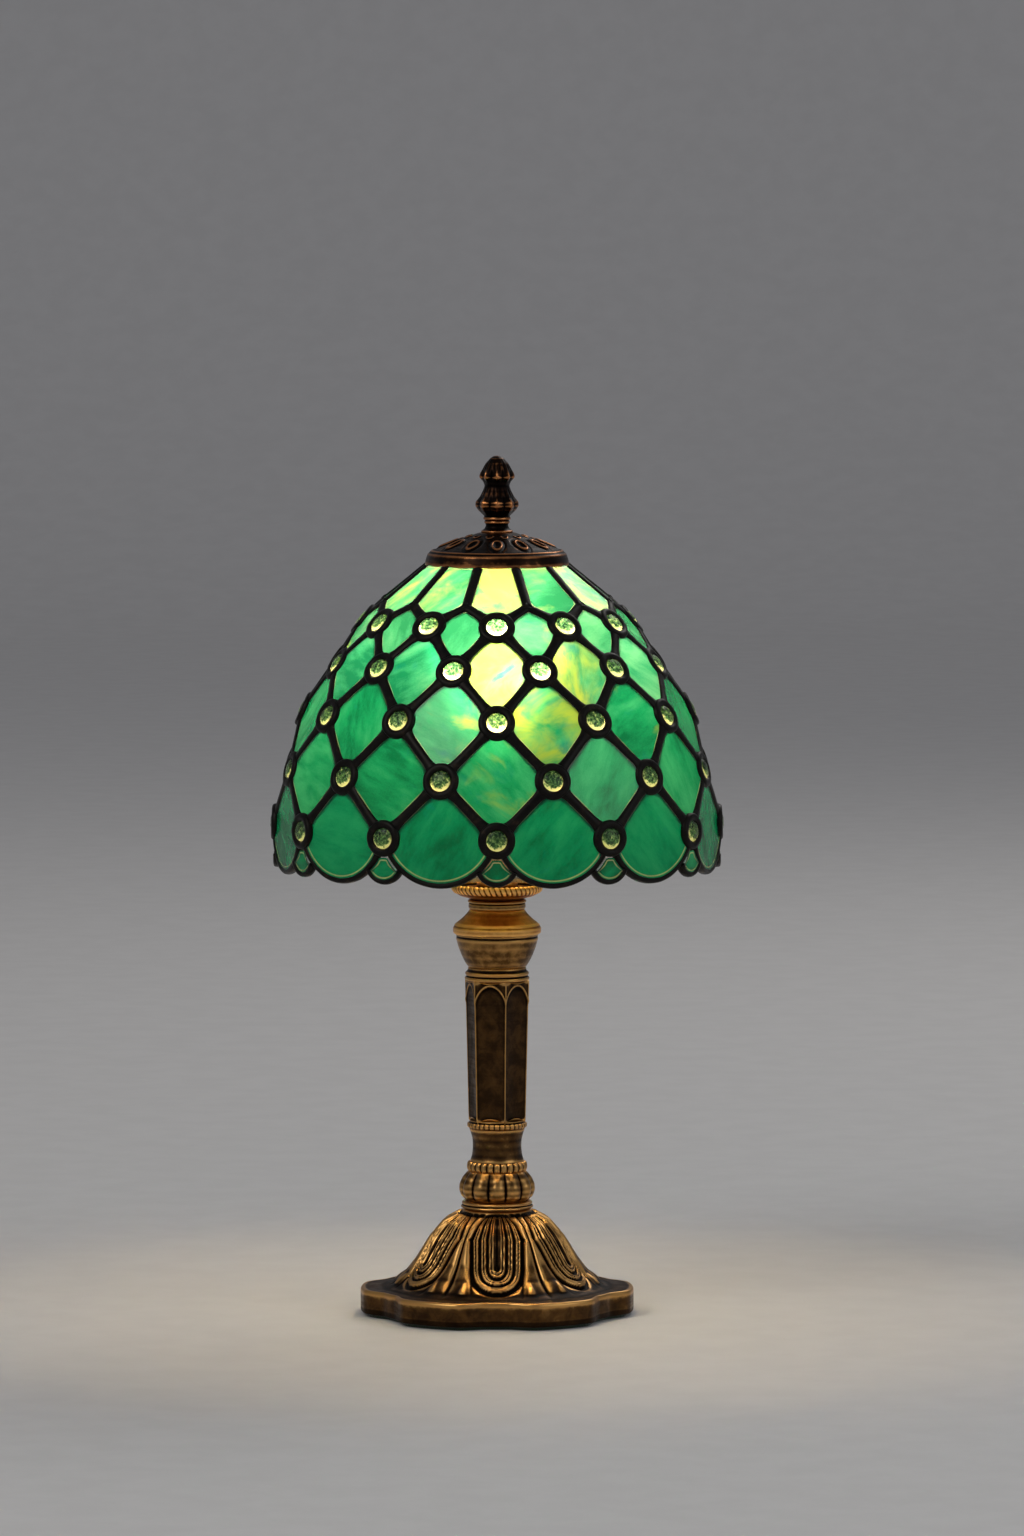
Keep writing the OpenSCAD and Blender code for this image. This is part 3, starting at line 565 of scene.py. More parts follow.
# The CAD nodes that stay as they are, by their finish
KEPT = [
    (BRASS, ["harp_saddle", "socket_cap", "socket_shell", "terminal_screws", "centre_contact",
             "switch_shaft", "harp_bow", "harp_stud", "harp_ferrule_left", "harp_ferrule_right",
             "crown_ring"]),
    (STEEL, ["bottom_washer", "bottom_nut", "threaded_pipe", "socket_set_screw"]),
    (NICKEL, ["screw_shell", "bulb_screw_base", "bulb_contact"]),
    (BLACK, ["cord_bushing", "socket_body", "switch_knob", "bulb_insulator"]),
    (FELT, ["felt_pad"]),
    (FIBRE, ["socket_liner"]),
    (CLEAR, ["bulb_stem"]),
    (FILAMENT, ["bulb_filament"]),
]
for material, kept_nodes in KEPT:
    for node in kept_nodes:
        mesh = nodes[node].data
        mesh.materials.clear()
        mesh.materials.append(material)


# ---- Foot ----

LOBE = math.radians(60)  # the foot and the column repeat every sixth of a turn
FOOT_R = 61.4
NOTCH = 5.6
DOME_R = 48.0
NECK_R = 15.5
SKIN = 2.0            # relief stands on points this near the dome's outside
# Below this height the foot is painted in shade
DARK_BASE_BELOW = 4.0
BUNDLE_HALF_W = 10.3
BUNDLE_TOP_HALF_W = 3.9
BUNDLE_SPREAD = 0.52  # how fast a bundle widens with the radius
BUNDLE_CLOSE_R = 35.5
BUNDLE_END_R = 44.0
BUNDLE_RISE = 1.7
BUNDLE_EDGE = 1.06    # a bundle's level is 0 along its middle and 1 round its outline
RIB_LEVELS = (0.96, 0.84, 0.62, 0.5, 0.3, 0.18)
RIB_RISE = 0.68
FURROWS = ((0.73, 0.7, 0.05), (0.4, 0.7, 0.05), (0.0, 0.5, 0.07))  # level, depth and width
PETAL_RISE = 1.5
TIP_RISE = 0.8
TIP_TURN = 20         # degrees from the notch to a leaf tip
INLET_R = 3.4
INLET_Z = 6.0
INLET_Y = 56.0
INLET_DEPTH = 16.0
DOME = [(15, 47.6), (16.6, 44.7), (23.5, 41), (28.9, 34.7), (32.5, 28.9), (35.2, 24.4), (39.7, 18.5),
        (46, 13.5), (51, 12.2), (59.4, 12.2), (60.5, 12.5), (61.4, 11.7)]
INSIDE_FOOT = [(50, 1.5), (50, 9.5), (42.5, 10.2), (36, 15), (31.5, 21.5), (28.8, 26), (25, 32),
               (20, 36.5), (15, 38.5), (BORE, 38.5)]


def foot_warp(turn, radius):
    """Draws the plinth's outline in at the six notches, and fades that out across the shelf."""
    away = np.degrees(np.abs(from_nearest(turn, LOBE)))
    edge = FOOT_R - NOTCH * (1 - smoothstep(4, 18, away))
    share = np.clip((radius - DOME_R) / (FOOT_R - DOME_R), 0, 1)
    return np.where(radius > DOME_R, DOME_R + (edge - DOME_R) * share, radius)


def foot_relief(turn, radius, height):
    """Six bundles of nested ribs, with two plain petals and two leaf tips between each pair."""
    away = from_nearest(turn, LOBE)
    half_w = BUNDLE_TOP_HALF_W + BUNDLE_SPREAD * (radius - NECK_R)
    half_w = np.clip(half_w, BUNDLE_TOP_HALF_W, BUNDLE_HALF_W)
    closing = np.clip((radius - BUNDLE_CLOSE_R) / (BUNDLE_END_R - BUNDLE_CLOSE_R), 0, 3)
    level = np.hypot(radius * np.sin(away) / half_w, closing)
    bundle = BUNDLE_RISE * np.sqrt(np.clip(BUNDLE_EDGE - level, 0, 1))
    for at in RIB_LEVELS:
        bundle += RIB_RISE * ridge(level, at, 0.04)
    for at, depth, width in FURROWS:
        bundle -= depth * ridge(level, at, width)
    groove = -1.1 * ridge(level, 1.12, 0.09)
    gap = np.maximum(radius * LOBE / 2 - 1.14 * half_w, 0.8)
    share = np.clip((LOBE / 2 - np.abs(away)) * radius / gap, 0, 1)
    petal = PETAL_RISE * np.sqrt(np.sin(math.pi * share)) - 0.7 * ridge(share, 0, 0.1)
    petal = petal * (1 - smoothstep(40, 51, radius))
    tip = smoothstep(39, 45, radius) * (1 - smoothstep(45.5, 47.5, radius))
    tip_width = 1.2 + 0.2 * np.clip(radius - 39, 0, 6)
    tip = TIP_RISE * tip * ridge(np.degrees(np.abs(away)), TIP_TURN, tip_width)
    on_dome = smoothstep(NECK_R, NECK_R + 2.5, radius) * (1 - smoothstep(47, 52, radius))
    dome_r, dome_z = np.array(DOME).T
    outside = height > np.interp(radius, dome_r, dome_z) - SKIN
    return on_dome * outside * (np.where(level < BUNDLE_EDGE, bundle, 0) + groove + petal + tip)


def open_inlet(piece):
    """Cuts the cord's hole through the back wall of the foot."""
    place_at = Matrix.Translation(Vector((0, INLET_Y, INLET_Z)) * MM)
    round_bar = bmesh.new()
    bmesh.ops.create_cone(
        round_bar, cap_ends=True, segments=48, radius1=INLET_R * MM, radius2=INLET_R * MM,
        depth=INLET_DEPTH * MM, matrix=place_at @ Matrix.Rotation(math.radians(90), 4, "X"),
    )
    mesh = bpy.data.meshes.new("inlet_cutter")
    round_bar.to_mesh(mesh)
    round_bar.free()
    mesh.materials.append(piece.data.materials[0])
    cutter = add_object("inlet_cutter", mesh)
    cut = piece.modifiers.new("inlet", "BOOLEAN")
    cut.object = cutter
    cut.operation = "DIFFERENCE"
    cut.solver = "MANIFOLD"
    finished = piece.evaluated_get(bpy.context.evaluated_depsgraph_get())
    made = bpy.data.meshes.new_from_object(finished)
    piece.modifiers.remove(cut)
    bpy.data.objects.remove(cutter)
    piece.data = made


def make_foot():
    low, _high = height_of("foot_casting")
    outline = [(FOOT_R, low)] + INSIDE_FOOT + [(BORE, DOME[0][1])] + DOME
    points, faces, wear = lathe(outline[::-1], foot_relief, columns=600, spacing=0.62, warp=foot_warp)
    # Below 4 mm the foot is held darker than plain metal and has no bright edge: painted shade along
    # its base
    wear[points[:, 2] < DARK_BASE_BELOW] = DARK_BASE_WEAR
    piece = add_piece("cast_foot", points, faces, "base", "antique_bronze", ["foot_casting"],
                      {"wear": wear}, crease=60)
    open_inlet(piece)


# ---- Stem ----

INNER_R = 9  # nothing nearer the axis than this has relief
GADROONS = 12
COLUMN_TURN = math.radians(-14)
COLUMN_LOW_R = 13.0
COLUMN_HIGH_R = 14.5
ARCH_RISE = 9.5
ARCH_MARGIN = 1.6


def gadroons(turn, radius, height):
    low, high = height_of("gadrooned_knop")
    share = (height - low) / (high - low)
    swell = np.sin(math.pi * np.clip(share * 0.98 + 0.01, 0, 1)) ** 0.6
    lobe = np.abs(np.cos(turn * GADROONS / 2)) ** 0.75
    return (2.1 * (lobe - 1) + 0.5) * swell * (radius > INNER_R)


def column_surface(turn, radius, height):
    """Six hollow flutes between thin arrises, with round heads whose raised lips run down into
    the arrises."""
    low, high = height_of("hex_column")
    share = (height - low) / (high - low)
    corner = COLUMN_LOW_R + (COLUMN_HIGH_R - COLUMN_LOW_R) * share
    away = from_nearest(turn - COLUMN_TURN, LOBE)
    face = corner * math.cos(LOBE / 2) / np.cos(away)
    across = away / (LOBE / 2)
    spring = high - ARCH_MARGIN - ARCH_RISE
    above = np.clip((height - spring) / ARCH_RISE, 0, None)
    level = np.hypot(across, above)
    hollow = 0.7 * np.clip(1 - level ** 2, 0, 1) ** 0.7
    lip = 0.36 * ridge(level, 1.0, 0.05) * smoothstep(0.02, 0.25, above)
    arris = 0.28 * ridge(np.abs(across), 1, 0.045)
    spandrel = 0.12 * smoothstep(1.02, 1.12, level)
    return (face - hollow + lip + arris + spandrel - radius) * (radius > INNER_R)


def make_stem():
    """The rings of the stem. Their outlines are (radius, share of their height) points."""
    # The urn's band and shoulder take the brighter orange bronze: gilding, with painted warm light from
    # the bulb on it
    antique, gilt_and_lit = "antique_bronze", "gilt_bronze"
    fine = {"spacing": 0.25}
    low_beads = {"relief": beads(34, 0.35, 12.4, 13.0), "columns": 340, "spacing": 0.25}
    leaf_beads = {"relief": beads(26, 0.75, 11.6, 12.4, 0.8), "columns": 416, "spacing": 0.25}
    flutes = {"relief": column_surface, "columns": 480, "spacing": 0.5, "passes": 0}
    rings = [
        ("collar", "collar_ring", antique, {},
         [(14.6, 0), (16.3, 0.16), (16.4, 0.34), (15.3, 0.5), (16, 0.66), (15.8, 0.86), (14.4, 1)]),
        ("knop", "gadrooned_knop", antique, {"relief": gadroons, "columns": 360},
         [(13.8, 0), (15.8, 0.16), (16.6, 0.36), (16.4, 0.54), (15.2, 0.76), (13.6, 0.92),
          (12.6, 1)]),
        ("leaf_collar", "ornamented_collar", antique, leaf_beads,
         [(11.9, 0), (12.7, 0.2), (12.9, 0.5), (12.7, 0.8), (11.9, 1)]),
        ("neck", "stem_neck", antique, {},
         [(12.2, 0), (11.3, 0.18), (10.9, 0.41), (11, 0.65), (11.7, 0.85), (12.6, 1)]),
        ("lower_bead_ring", "column_lower_ring", antique, low_beads,
         [(12.4, 0), (13.1, 0.3), (13.1, 0.6), (12.2, 0.78), (12.6, 1)]),
        ("fluted_column", "hex_column", antique, flutes, [(12.4, 0), (13.9, 1)]),
        ("astragal", "astragal_ring", antique, fine,
         [(13.4, 0), (14.5, 0.08), (14.5, 0.26), (13.5, 0.34), (14.3, 0.46), (14.3, 0.62),
          (13.2, 0.76), (13, 1)]),
        ("urn", "urn_bowl", antique, {},
         [(12.8, 0), (14.2, 0.13), (15.8, 0.34), (17.4, 0.61), (18.5, 0.88), (18.0, 0.92),
          (18.8, 1)]),
        ("urn_band", "urn_rim_band", gilt_and_lit, fine,
         [(18.9, 0), (19.7, 0.12), (19.8, 0.62), (19.2, 0.78), (19, 1)]),
        ("urn_shoulder", "urn_cone", gilt_and_lit, {},
         [(18.8, 0), (17.2, 0.18), (15.5, 0.39), (13.6, 0.68), (12.6, 0.9), (12.2, 1)]),
        ("upper_neck_ring", "neck_ring", antique, fine,
         [(12.2, 0), (12.8, 0.1), (12.8, 0.55), (12.2, 0.62), (13.1, 0.72), (13.2, 0.86),
          (12.6, 1)]),
    ]
    for name, node, slot, how, outer in rings:
        low, high = height_of(node)
        outline = [(BORE, 0)] + outer + [(BORE, 1)]
        outline = [(r, low + share * (high - low)) for r, share in outline]
        turned_piece(name, node, slot, outline, **how)


SAUCER_BEADS = 52


def saucer_edge(turn, radius, height):
    """A rope of slanting beads round the rim."""
    low, _high = height_of("bobeche")
    rim = smoothstep(18.2, 19.4, radius) * (height > low + 2)
    rope = np.abs(np.cos(turn * SAUCER_BEADS / 2 + (height - low) * 0.5))
    return 0.42 * (rope - 0.45) * rim


def make_saucer():
    low, high = height_of("bobeche")
    outline = raised(low, [
        (BORE, 0), (11, 0), (13.5, 0.9), (16.6, 1.7), (19.4, 3.4), (20.3, 4.6), (20.3, 6.2),
        (19.5, 7.0), (18.5, 6.5), (18.2, 5.2), (16, 4.2), (13, 3.6), (10.5, 3.4), (9.3, 5.6),
    ])
    outline += [(9, high), (BORE, high)]
    # The saucer takes the brighter orange bronze: gilding, with painted warm light from the bulb on it
    turned_piece("saucer", "bobeche", "gilt_bronze", outline,
                 relief=saucer_edge, columns=520, spacing=0.35)


# ---- Cap and finial ----

CAP_CURLS = 12
CURL_AT_R = 21.5
CURL_HALF_W = 2.7
CURL_HALF_L = 5.0
SCROLL_AT_R = 12.2
SCROLL_HALF_W = 1.9
SCROLL_HALF_L = 2.6
CAP_MIDDLE_Z = 344.2  # between the cap's inside and outside, at the curls
CAP_FALL = 0.62       # how fast that height falls with the radius


def cap_relief(turn, radius, height):
    """Twelve long open rings round the cap, with a collar of small scrolls above them."""
    pitch = 2 * math.pi / CAP_CURLS
    across = radius * np.sin(from_nearest(turn, pitch))
    level = np.hypot(across / CURL_HALF_W, (radius - CURL_AT_R) / CURL_HALF_L)
    rings = 0.75 * ridge(level, 0.78, 0.2) - 0.45 * ridge(level, 0, 0.42)
    rings = rings - 0.25 * ridge(level, 1.3, 0.18)
    across = radius * np.sin(from_nearest(turn + pitch / 2, pitch))
    level = np.hypot(across / SCROLL_HALF_W, (radius - SCROLL_AT_R) / SCROLL_HALF_L)
    scrolls = 0.5 * ridge(level, 0.75, 0.25) - 0.2 * ridge(level, 0, 0.4)
    rim_line = 0.35 * ridge(radius, 29.2, 0.5)
    outer = height > CAP_MIDDLE_Z - CAP_FALL * (radius - CURL_AT_R)
    return outer * (radius > 8.5) * (rings + scrolls + rim_line)


def make_cap():
    low, high = height_of("vase_cap")
    outline = raised(low, [(32, 0), (32.2, 1.2), (31.9, 2.6), (31, 5.2), (29.6, 6.3), (24.5, 8.6),
                           (17.5, 11.4), (12, 13.2)])
    outline += [(8, high), (3.5, high), (3.5, 348), (12, 348), (17, 345.9), (26.5, 341),
                (30.6, 340.8), (30.6, low)]
    turned_piece("cap", "vase_cap", "dark_bronze", outline, body="shade", crease=60,
                 relief=cap_relief, columns=600, spacing=0.32)


FINIAL_LEAVES = 8


def finial_relief(turn, radius, height):
    """Leaf tips that stand out at the two knuckles, and the ribs that run into them."""
    away = from_nearest(turn, 2 * math.pi / FINIAL_LEAVES)
    leaf = 0.45 - np.abs(away) * FINIAL_LEAVES / math.pi
    knuckles = 1.5 * ridge(height, 377.2, 2.4) + 1.3 * ridge(height, 364.4, 3.4)
    ribs = 0.3 * np.abs(np.cos(turn * FINIAL_LEAVES))
    ribs = ribs * (ridge(height, 381, 2.2) + ridge(height, 369.5, 2))
    outside = radius > 3.4
    return outside * (leaf * knuckles + ribs)


def make_finial():
    low, high = height_of("finial")
    outline = [
        (0, low + 12), (3.2, low + 12), (3.2, low), (7, low), (7.2, 352.3), (5.6, 353.4),
        (5.0, 354.6), (5.0, 355.4), (5.7, 355.9), (5.7, 356.6), (5.2, 357), (6.1, 357.5),
        (6.1, 358.3), (5.5, 358.9), (6.6, 360), (8.2, 361.8), (9.1, 363.6), (9.0, 365.2),
        (7.4, 367.4), (6.1, 370), (5.5, 372.6), (6.1, 374.6), (7.3, 376.4), (6.9, 378),
        (5.9, 380.2), (4.8, 382.6), (3.1, 384.8), (1.5, 385.8), (0, high),
    ]
    points, faces, wear = lathe(outline, finial_relief, columns=256, spacing=0.28, passes=1,
                                closed=False)
    points[:, 2] = np.minimum(points[:, 2], high)
    piece = add_piece("finial_knob", points, faces, "finial", "dark_bronze", ["finial"],
                      {"wear": wear}, crease=60)
    merge_close(piece)


# ---- Shade ----

SHADE_R = 99.2
SHADE_H = 136.0
RIM_Z = 201.0
PER_ROW = 12
STEP = 360 / PER_ROW
HALF_COS, HALF_SIN = cos_sin(STEP / 2)
CROWN, FORK, FIRST_JEWEL, LAST_JEWEL, RIM = 0, 1, 2, 6, 7
# Radius and height of each ring of joints, as shares of the shade's
RING_SHARES = [(0.3125, 1), (0.520, 0.879), (0.600, 0.820), (0.736, 0.684), (0.867, 0.526),
               (0.953, 0.341), (1, 0.154), (0.973, 0)]
IN_PHASE = [False, False, True, False, True, False, True, False]  # has a joint at the front
GLASS_T = 2.8
JEWEL_R = 4.8
JEWEL_H = 2.32
LEAD_HALF_W = 2.35
LEAD_HALF_D = 2.1
RING_MIDDLE_R = 6.3
RING_HALF_W = 1.9
RING_HALF_D = 1.85
PANE_INSET = 0.9
JEWEL_CLEAR = 6.5    # from a jewel's middle to the glass, and from a plain joint to the glass
JOINT_CLEAR = 1.9
SCALLOP_R = 25.0
SCALLOP_RISE = 5.8
FAN_PLANE_R = 98.2
FAN_TOP_Y = -8.5
FAN_MARGIN = 2.0
FAN_ARC_R = 7.6
FAN_ARC_Y = -10.6
FAN_ARC_START = -33


def ring_r(i):
    return RING_SHARES[i][0] * SHADE_R


def ring_z(i):
    return RIM_Z + RING_SHARES[i][1] * SHADE_H


def ring_turn(i):
    return 0 if IN_PHASE[i] else STEP / 2


def slope_between(i, j):
    return math.degrees(math.atan2(ring_z(i) - ring_z(j), ring_r(j) - ring_r(i)))


def at_turn(r, turn, z):
    c, s = cos_sin(turn)
    return np.array([r * s, -r * c, z])


def ring_joint(i, turn):
    return at_turn(ring_r(i), turn, ring_z(i))


def jewel_plane(i):
    return ring_r(i), ring_z(i), slope_between(i - 1, i + 1), 0


def side_joint(top, i, slope):
    """A joint half a step to the side, in the plane that leans at slope from ring top."""
    c, s = cos_sin(slope)
    inward = ring_r(top) - ring_r(i) * HALF_COS
    return np.array([ring_r(i) * HALF_SIN, inward * c + (ring_z(i) - ring_z(top)) * s])


def side_stand(top, i, slope):
    """How far such a joint stands off that plane."""
    c, s = cos_sin(slope)
    return (ring_r(i) * HALF_COS - ring_r(top)) * s + (ring_z(i) - ring_z(top)) * c


def in_plane(points, r, z, slope, stand, turn):
    """Points of a leaning pane's own plane, placed on the shade. +X runs round it, +Y up its slope."""
    c, s = cos_sin(slope)
    x, y, w = points[..., 0], points[..., 1], points[..., 2] + stand
    return turned_by(np.stack([x, y * c - w * s - r, y * s + w * c + z], axis=-1), turn)


def arc(centre, r, start, stop, steps):
    angle = np.radians(np.linspace(start, stop, steps + 1))
    return np.asarray(centre) + r * np.stack([np.cos(angle), np.sin(angle)], axis=1)


def corner_arc(before, at, after, clear):
    """An inward-curved corner that leaves room for the jewel or the joint there."""
    start, stop = (math.degrees(math.atan2(y - at[1], x - at[0])) for x, y in (after, before))
    sweep = (stop - start) % 360
    trim = math.degrees(math.asin(PANE_INSET / clear))
    return arc(at, clear, start + sweep - trim, start + trim, 6)


def pane_outline(corners):
    """corners is a list of (point, clear) anticlockwise round the pane."""
    places = [place_at for place_at, _clear in corners]
    after = places[1:] + places[:1]
    return np.vstack([corner_arc(places[k - 1], at, after[k], clear)
                      for k, (at, clear) in enumerate(corners)])


def diamond(top):
    """Outline and plane of the four-cornered panes whose top joints are on ring top."""
    slope = slope_between(top, top + 2)
    x, y = side_joint(top, top + 1, slope)
    low = -math.hypot(ring_r(top + 2) - ring_r(top), ring_z(top + 2) - ring_z(top))
    outline = pane_outline([((0, 0), JOINT_CLEAR if top == FORK else JEWEL_CLEAR),
                            ((-x, y), JEWEL_CLEAR), ((0, low), JEWEL_CLEAR), ((x, y), JEWEL_CLEAR)])
    stand = side_stand(top, top + 1, slope) / 2
    return outline, (ring_r(top), ring_z(top), slope, stand), ring_turn(top)


def crown_pane():
    crown_r = ring_r(CROWN) * HALF_COS
    out, down = ring_r(FIRST_JEWEL) - crown_r, ring_z(CROWN) - ring_z(FIRST_JEWEL)
    slope = math.degrees(math.atan2(down, out))
    c, s = cos_sin(slope)
    top_x, fork_x = ring_r(CROWN) * HALF_SIN, ring_r(FORK) * HALF_SIN
    fork_y = (crown_r - ring_r(FORK) * HALF_COS) * c + (ring_z(FORK) - ring_z(CROWN)) * s
    outline = pane_outline([
        ((top_x, 0), JOINT_CLEAR), ((-top_x, 0), JOINT_CLEAR), ((-fork_x, fork_y), JOINT_CLEAR),
        ((0, -math.hypot(out, down)), JEWEL_CLEAR), ((fork_x, fork_y), JOINT_CLEAR),
    ])
    return outline, (crown_r, ring_z(CROWN), slope, 0), 0


def meeting_angle(reach, r, other_r):
    return math.degrees(math.acos((reach ** 2 + r ** 2 - other_r ** 2) / (2 * reach * r)))


SKIRT_TOP = LAST_JEWEL - 1
SKIRT_SLOPE = slope_between(SKIRT_TOP, RIM)
SKIRT_SIDE = side_joint(SKIRT_TOP, LAST_JEWEL, SKIRT_SLOPE)
SKIRT_STAND = side_stand(SKIRT_TOP, LAST_JEWEL, SKIRT_SLOPE) / 2
SKIRT_PLANE = (ring_r(SKIRT_TOP), ring_z(SKIRT_TOP), SKIRT_SLOPE, SKIRT_STAND)
SCALLOP_Y = SKIRT_SIDE[1] + SCALLOP_RISE
SCALLOP_REACH = math.hypot(SKIRT_SIDE[0], SCALLOP_RISE)
SCALLOP_LEAN = math.degrees(math.atan2(SCALLOP_RISE, SKIRT_SIDE[0]))
FAN_PLANE = (FAN_PLANE_R, ring_z(LAST_JEWEL), 90, 0)


def skirt_pane():
    """A skirt pane, round at the bottom."""
    left = np.array([-SKIRT_SIDE[0], SKIRT_SIDE[1]])
    edge = math.degrees(math.atan2(-SKIRT_SIDE[1], SKIRT_SIDE[0]))
    edge -= math.degrees(math.asin(PANE_INSET / JEWEL_CLEAR))
    foot = SCALLOP_LEAN - meeting_angle(SCALLOP_REACH, JEWEL_CLEAR, SCALLOP_R)
    start = 180 + SCALLOP_LEAN + meeting_angle(SCALLOP_REACH, SCALLOP_R, JEWEL_CLEAR)
    outline = np.vstack([
        corner_arc(SKIRT_SIDE, (0, 0), left, JEWEL_CLEAR),
        arc(left, JEWEL_CLEAR, edge, foot, 7),
        arc((0, SCALLOP_Y), SCALLOP_R, start, 540 - start, 24),
        arc(SKIRT_SIDE, JEWEL_CLEAR, 180 - foot, 180 - edge, 7),
    ])
    return outline, SKIRT_PLANE, STEP / 2


def fan_pane():
    """A small fan under a lowest jewel, between two scallops."""
    _c, s = cos_sin(FAN_ARC_START)
    corner_y = FAN_ARC_Y + FAN_ARC_R * s
    side_r = SCALLOP_R + FAN_MARGIN
    angles = [180 + math.degrees(math.asin((SCALLOP_RISE - y) / side_r))
              for y in (corner_y, FAN_TOP_Y)]
    side = arc((SKIRT_SIDE[0] * HALF_COS, SCALLOP_RISE), side_r, *angles, 6)
    under = arc((0, FAN_ARC_Y), FAN_ARC_R + 0.3, 180 - FAN_ARC_START, 360 + FAN_ARC_START, 12)
    return np.vstack([side, side[::-1] * (-1, 1), under]), FAN_PLANE, 0


BORDER_STEPS = (0, 0.6, 1.0, 1.4, 2.0)  # from a pane's edge to its outer rings of points
RIPPLE = 0.14


def pane_solid(outline, seed, rng):
    """One pane as a closed slab with gently rippled faces. Returns its points and faces, how many
    of the faces are the front's, and each point's grain and edge."""
    rim = resampled(outline, 1.1)
    centre = (rim.min(axis=0) + rim.max(axis=0)) / 2
    reach = np.linalg.norm(rim - centre, axis=1, keepdims=True)
    shares = [1 - step / reach for step in BORDER_STEPS]
    shares += [shares[-1] * k for k in np.linspace(1, 0, 11)[1:-1]]
    flat = np.vstack([centre + (rim - centre) * share for share in shares] + [centre])
    edge = np.concatenate([((1 - share) * reach).ravel() for share in shares] + [[reach.mean()]])
    sides = []
    for face, z in ((0, GLASS_T / 2), (1, -GLASS_T / 2)):
        ripple = [noise.noise(Vector((x / 9, y / 9, seed + face * 31.7))) for x, y in flat]
        sides.append(np.column_stack([flat, z + RIPPLE * np.array(ripple)]))
    side_count, around, rows = len(flat), len(rim), len(shares)
    inner = (rows - 1) * around
    front_faces = grid_faces(rows, around)
    front_faces += [[inner + k, inner + (k + 1) % around, side_count - 1] for k in range(around)]
    back_faces = [[i + side_count for i in face[::-1]] for face in front_faces]
    wall = [[k, k + side_count, (k + 1) % around + side_count, (k + 1) % around]
            for k in range(around)]
    faces = front_faces + back_faces + wall
    area = np.sum(rim[:, 0] * np.roll(rim[:, 1], -1) - rim[:, 1] * np.roll(rim[:, 0], -1))
    if area < 0:
        faces = [face[::-1] for face in faces]
    angle = rng.uniform(0.15, 1.35) * rng.choice([-1, 1])
    grain = turned_by(np.column_stack([flat, 0 * flat[:, 0]]), math.degrees(angle)) / 10
    grain[:, 2] = seed
    return np.vstack(sides), faces, len(front_faces), np.tile(grain, (2, 1)), np.tile(edge, 2)


def glass_row(name, node, slot, pane, warmth, rng):
    """A ring of twelve panes as one piece. warmth is how yellow the panes are, from the front round
    towards +X, over again where it is short."""
    outline, plane, first_turn = pane
    parts, second, values = [], [], {"grain": [], "edge": [], "warmth": [], "tone": []}
    face_count = 0
    for k in range(PER_ROW):
        seed = rng.uniform(0, 90)
        points, faces, front_count, grain, edge = pane_solid(outline, seed, rng)
        parts.append((in_plane(points, *plane, first_turn + k * STEP), faces))
        second += range(face_count + front_count, face_count + len(faces))
        face_count += len(faces)
        values["grain"].append(grain)
        values["edge"].append(edge)
        values["warmth"].append(np.full(len(points), warmth[k % len(warmth)]))
        values["tone"].append(np.full(len(points), rng.uniform(0, 1)))
    values = {key: np.concatenate(arrays) for key, arrays in values.items()}
    add_piece(name, *joined(parts), "shade", slot, [node], values, second)


def make_glass():
    rng = np.random.default_rng(SEED)
    rows = [
        ("crown_panes", "glass_crown", "glass_crown", crown_pane(),
         (0.9, 0.4, 0.85, 0.4, 0.5, 0.3, 0.7, 0.4, 0.2, 0.6, 0.5, 0.5)),
        ("shoulder_panes", "glass_shoulder", "glass_crown", diamond(1),
         (0.4, 0.1, 0.1, 0.3, 0.5, 0.2, 0.1, 0.4, 0.2, 0.5, 0.2, 0.1)),
        ("upper_panes", "glass_upper", "glass_upper", diamond(2),
         (0.85, 0.95, 0.2, 0.1, 0.4, 0.1, 0.3, 0.7, 0.1, 0.2, 0.1, 0.2)),
        ("middle_panes", "glass_middle", "glass_middle", diamond(3),
         (0.8, 0.45, 0.3, 0.1, 0.3, 0.5, 0.2, 0.1, 0.4, 0.2, 0.2, 0.55)),
        ("lower_panes", "glass_lower", "glass_middle", diamond(4),
         (0.4, 0.1, 0.1, 0.3, 0.1, 0.2, 0.4, 0.1, 0.2, 0.3, 0.1, 0.15)),
        ("skirt_panes", "glass_skirt", "glass_skirt", skirt_pane(),
         (0.25, 0.1, 0.1, 0.2, 0.2, 0.1, 0.3, 0.2, 0.1, 0.2, 0.1, 0.25)),
        ("fan_panes", "glass_fans", "glass_skirt", fan_pane(), (0.3, 0.2, 0.25)),
    ]
    for row in rows:
        glass_row(*row, rng)


JEWEL_SIDES = 40
JEWEL_FACETS = 9
JEWEL_BACK_Z = -1.5  # faces that start below this are the jewel's back
JEWEL_BUMPS = 0.16


def jewel_solid():
    """A pressed glass jewel in its own axes: its dome on +Z, and slightly faceted."""
    back = [(0, -1.8), (4.2, -1.8), (4.8, -1.2)]
    dome = [(4.8, 0.5), (4.55, 1.1), (3.9, 1.7), (2.9, 2.06), (1.5, 2.26), (0, JEWEL_H)]
    profile = resampled(back + dome, 0.35, closed=False)
    turn = full_circle(JEWEL_SIDES)[None, :]
    radius, height = profile[:, 0:1], profile[:, 1:2]
    radius = radius * (1 + 0.012 * np.cos(turn * JEWEL_FACETS) * (radius > 2))
    points = np.stack([radius * np.cos(turn), radius * np.sin(turn), height + 0 * turn], axis=-1)
    # A painted highlight round the jewel's edge, strongest on its lower side, kept in the rim attribute
    painted_lower_glint = 0.85 - 0.3 * points[..., 1] / JEWEL_R
    rim = np.hypot(points[..., 0], points[..., 1]) / JEWEL_R * painted_lower_glint
    faces = grid_faces(len(profile), JEWEL_SIDES)
    back_rows = (profile[:, 1] < JEWEL_BACK_Z).sum()
    is_back = [min(face) // JEWEL_SIDES < back_rows for face in faces]
    return points.reshape(-1, 3), faces, rim.ravel(), is_back


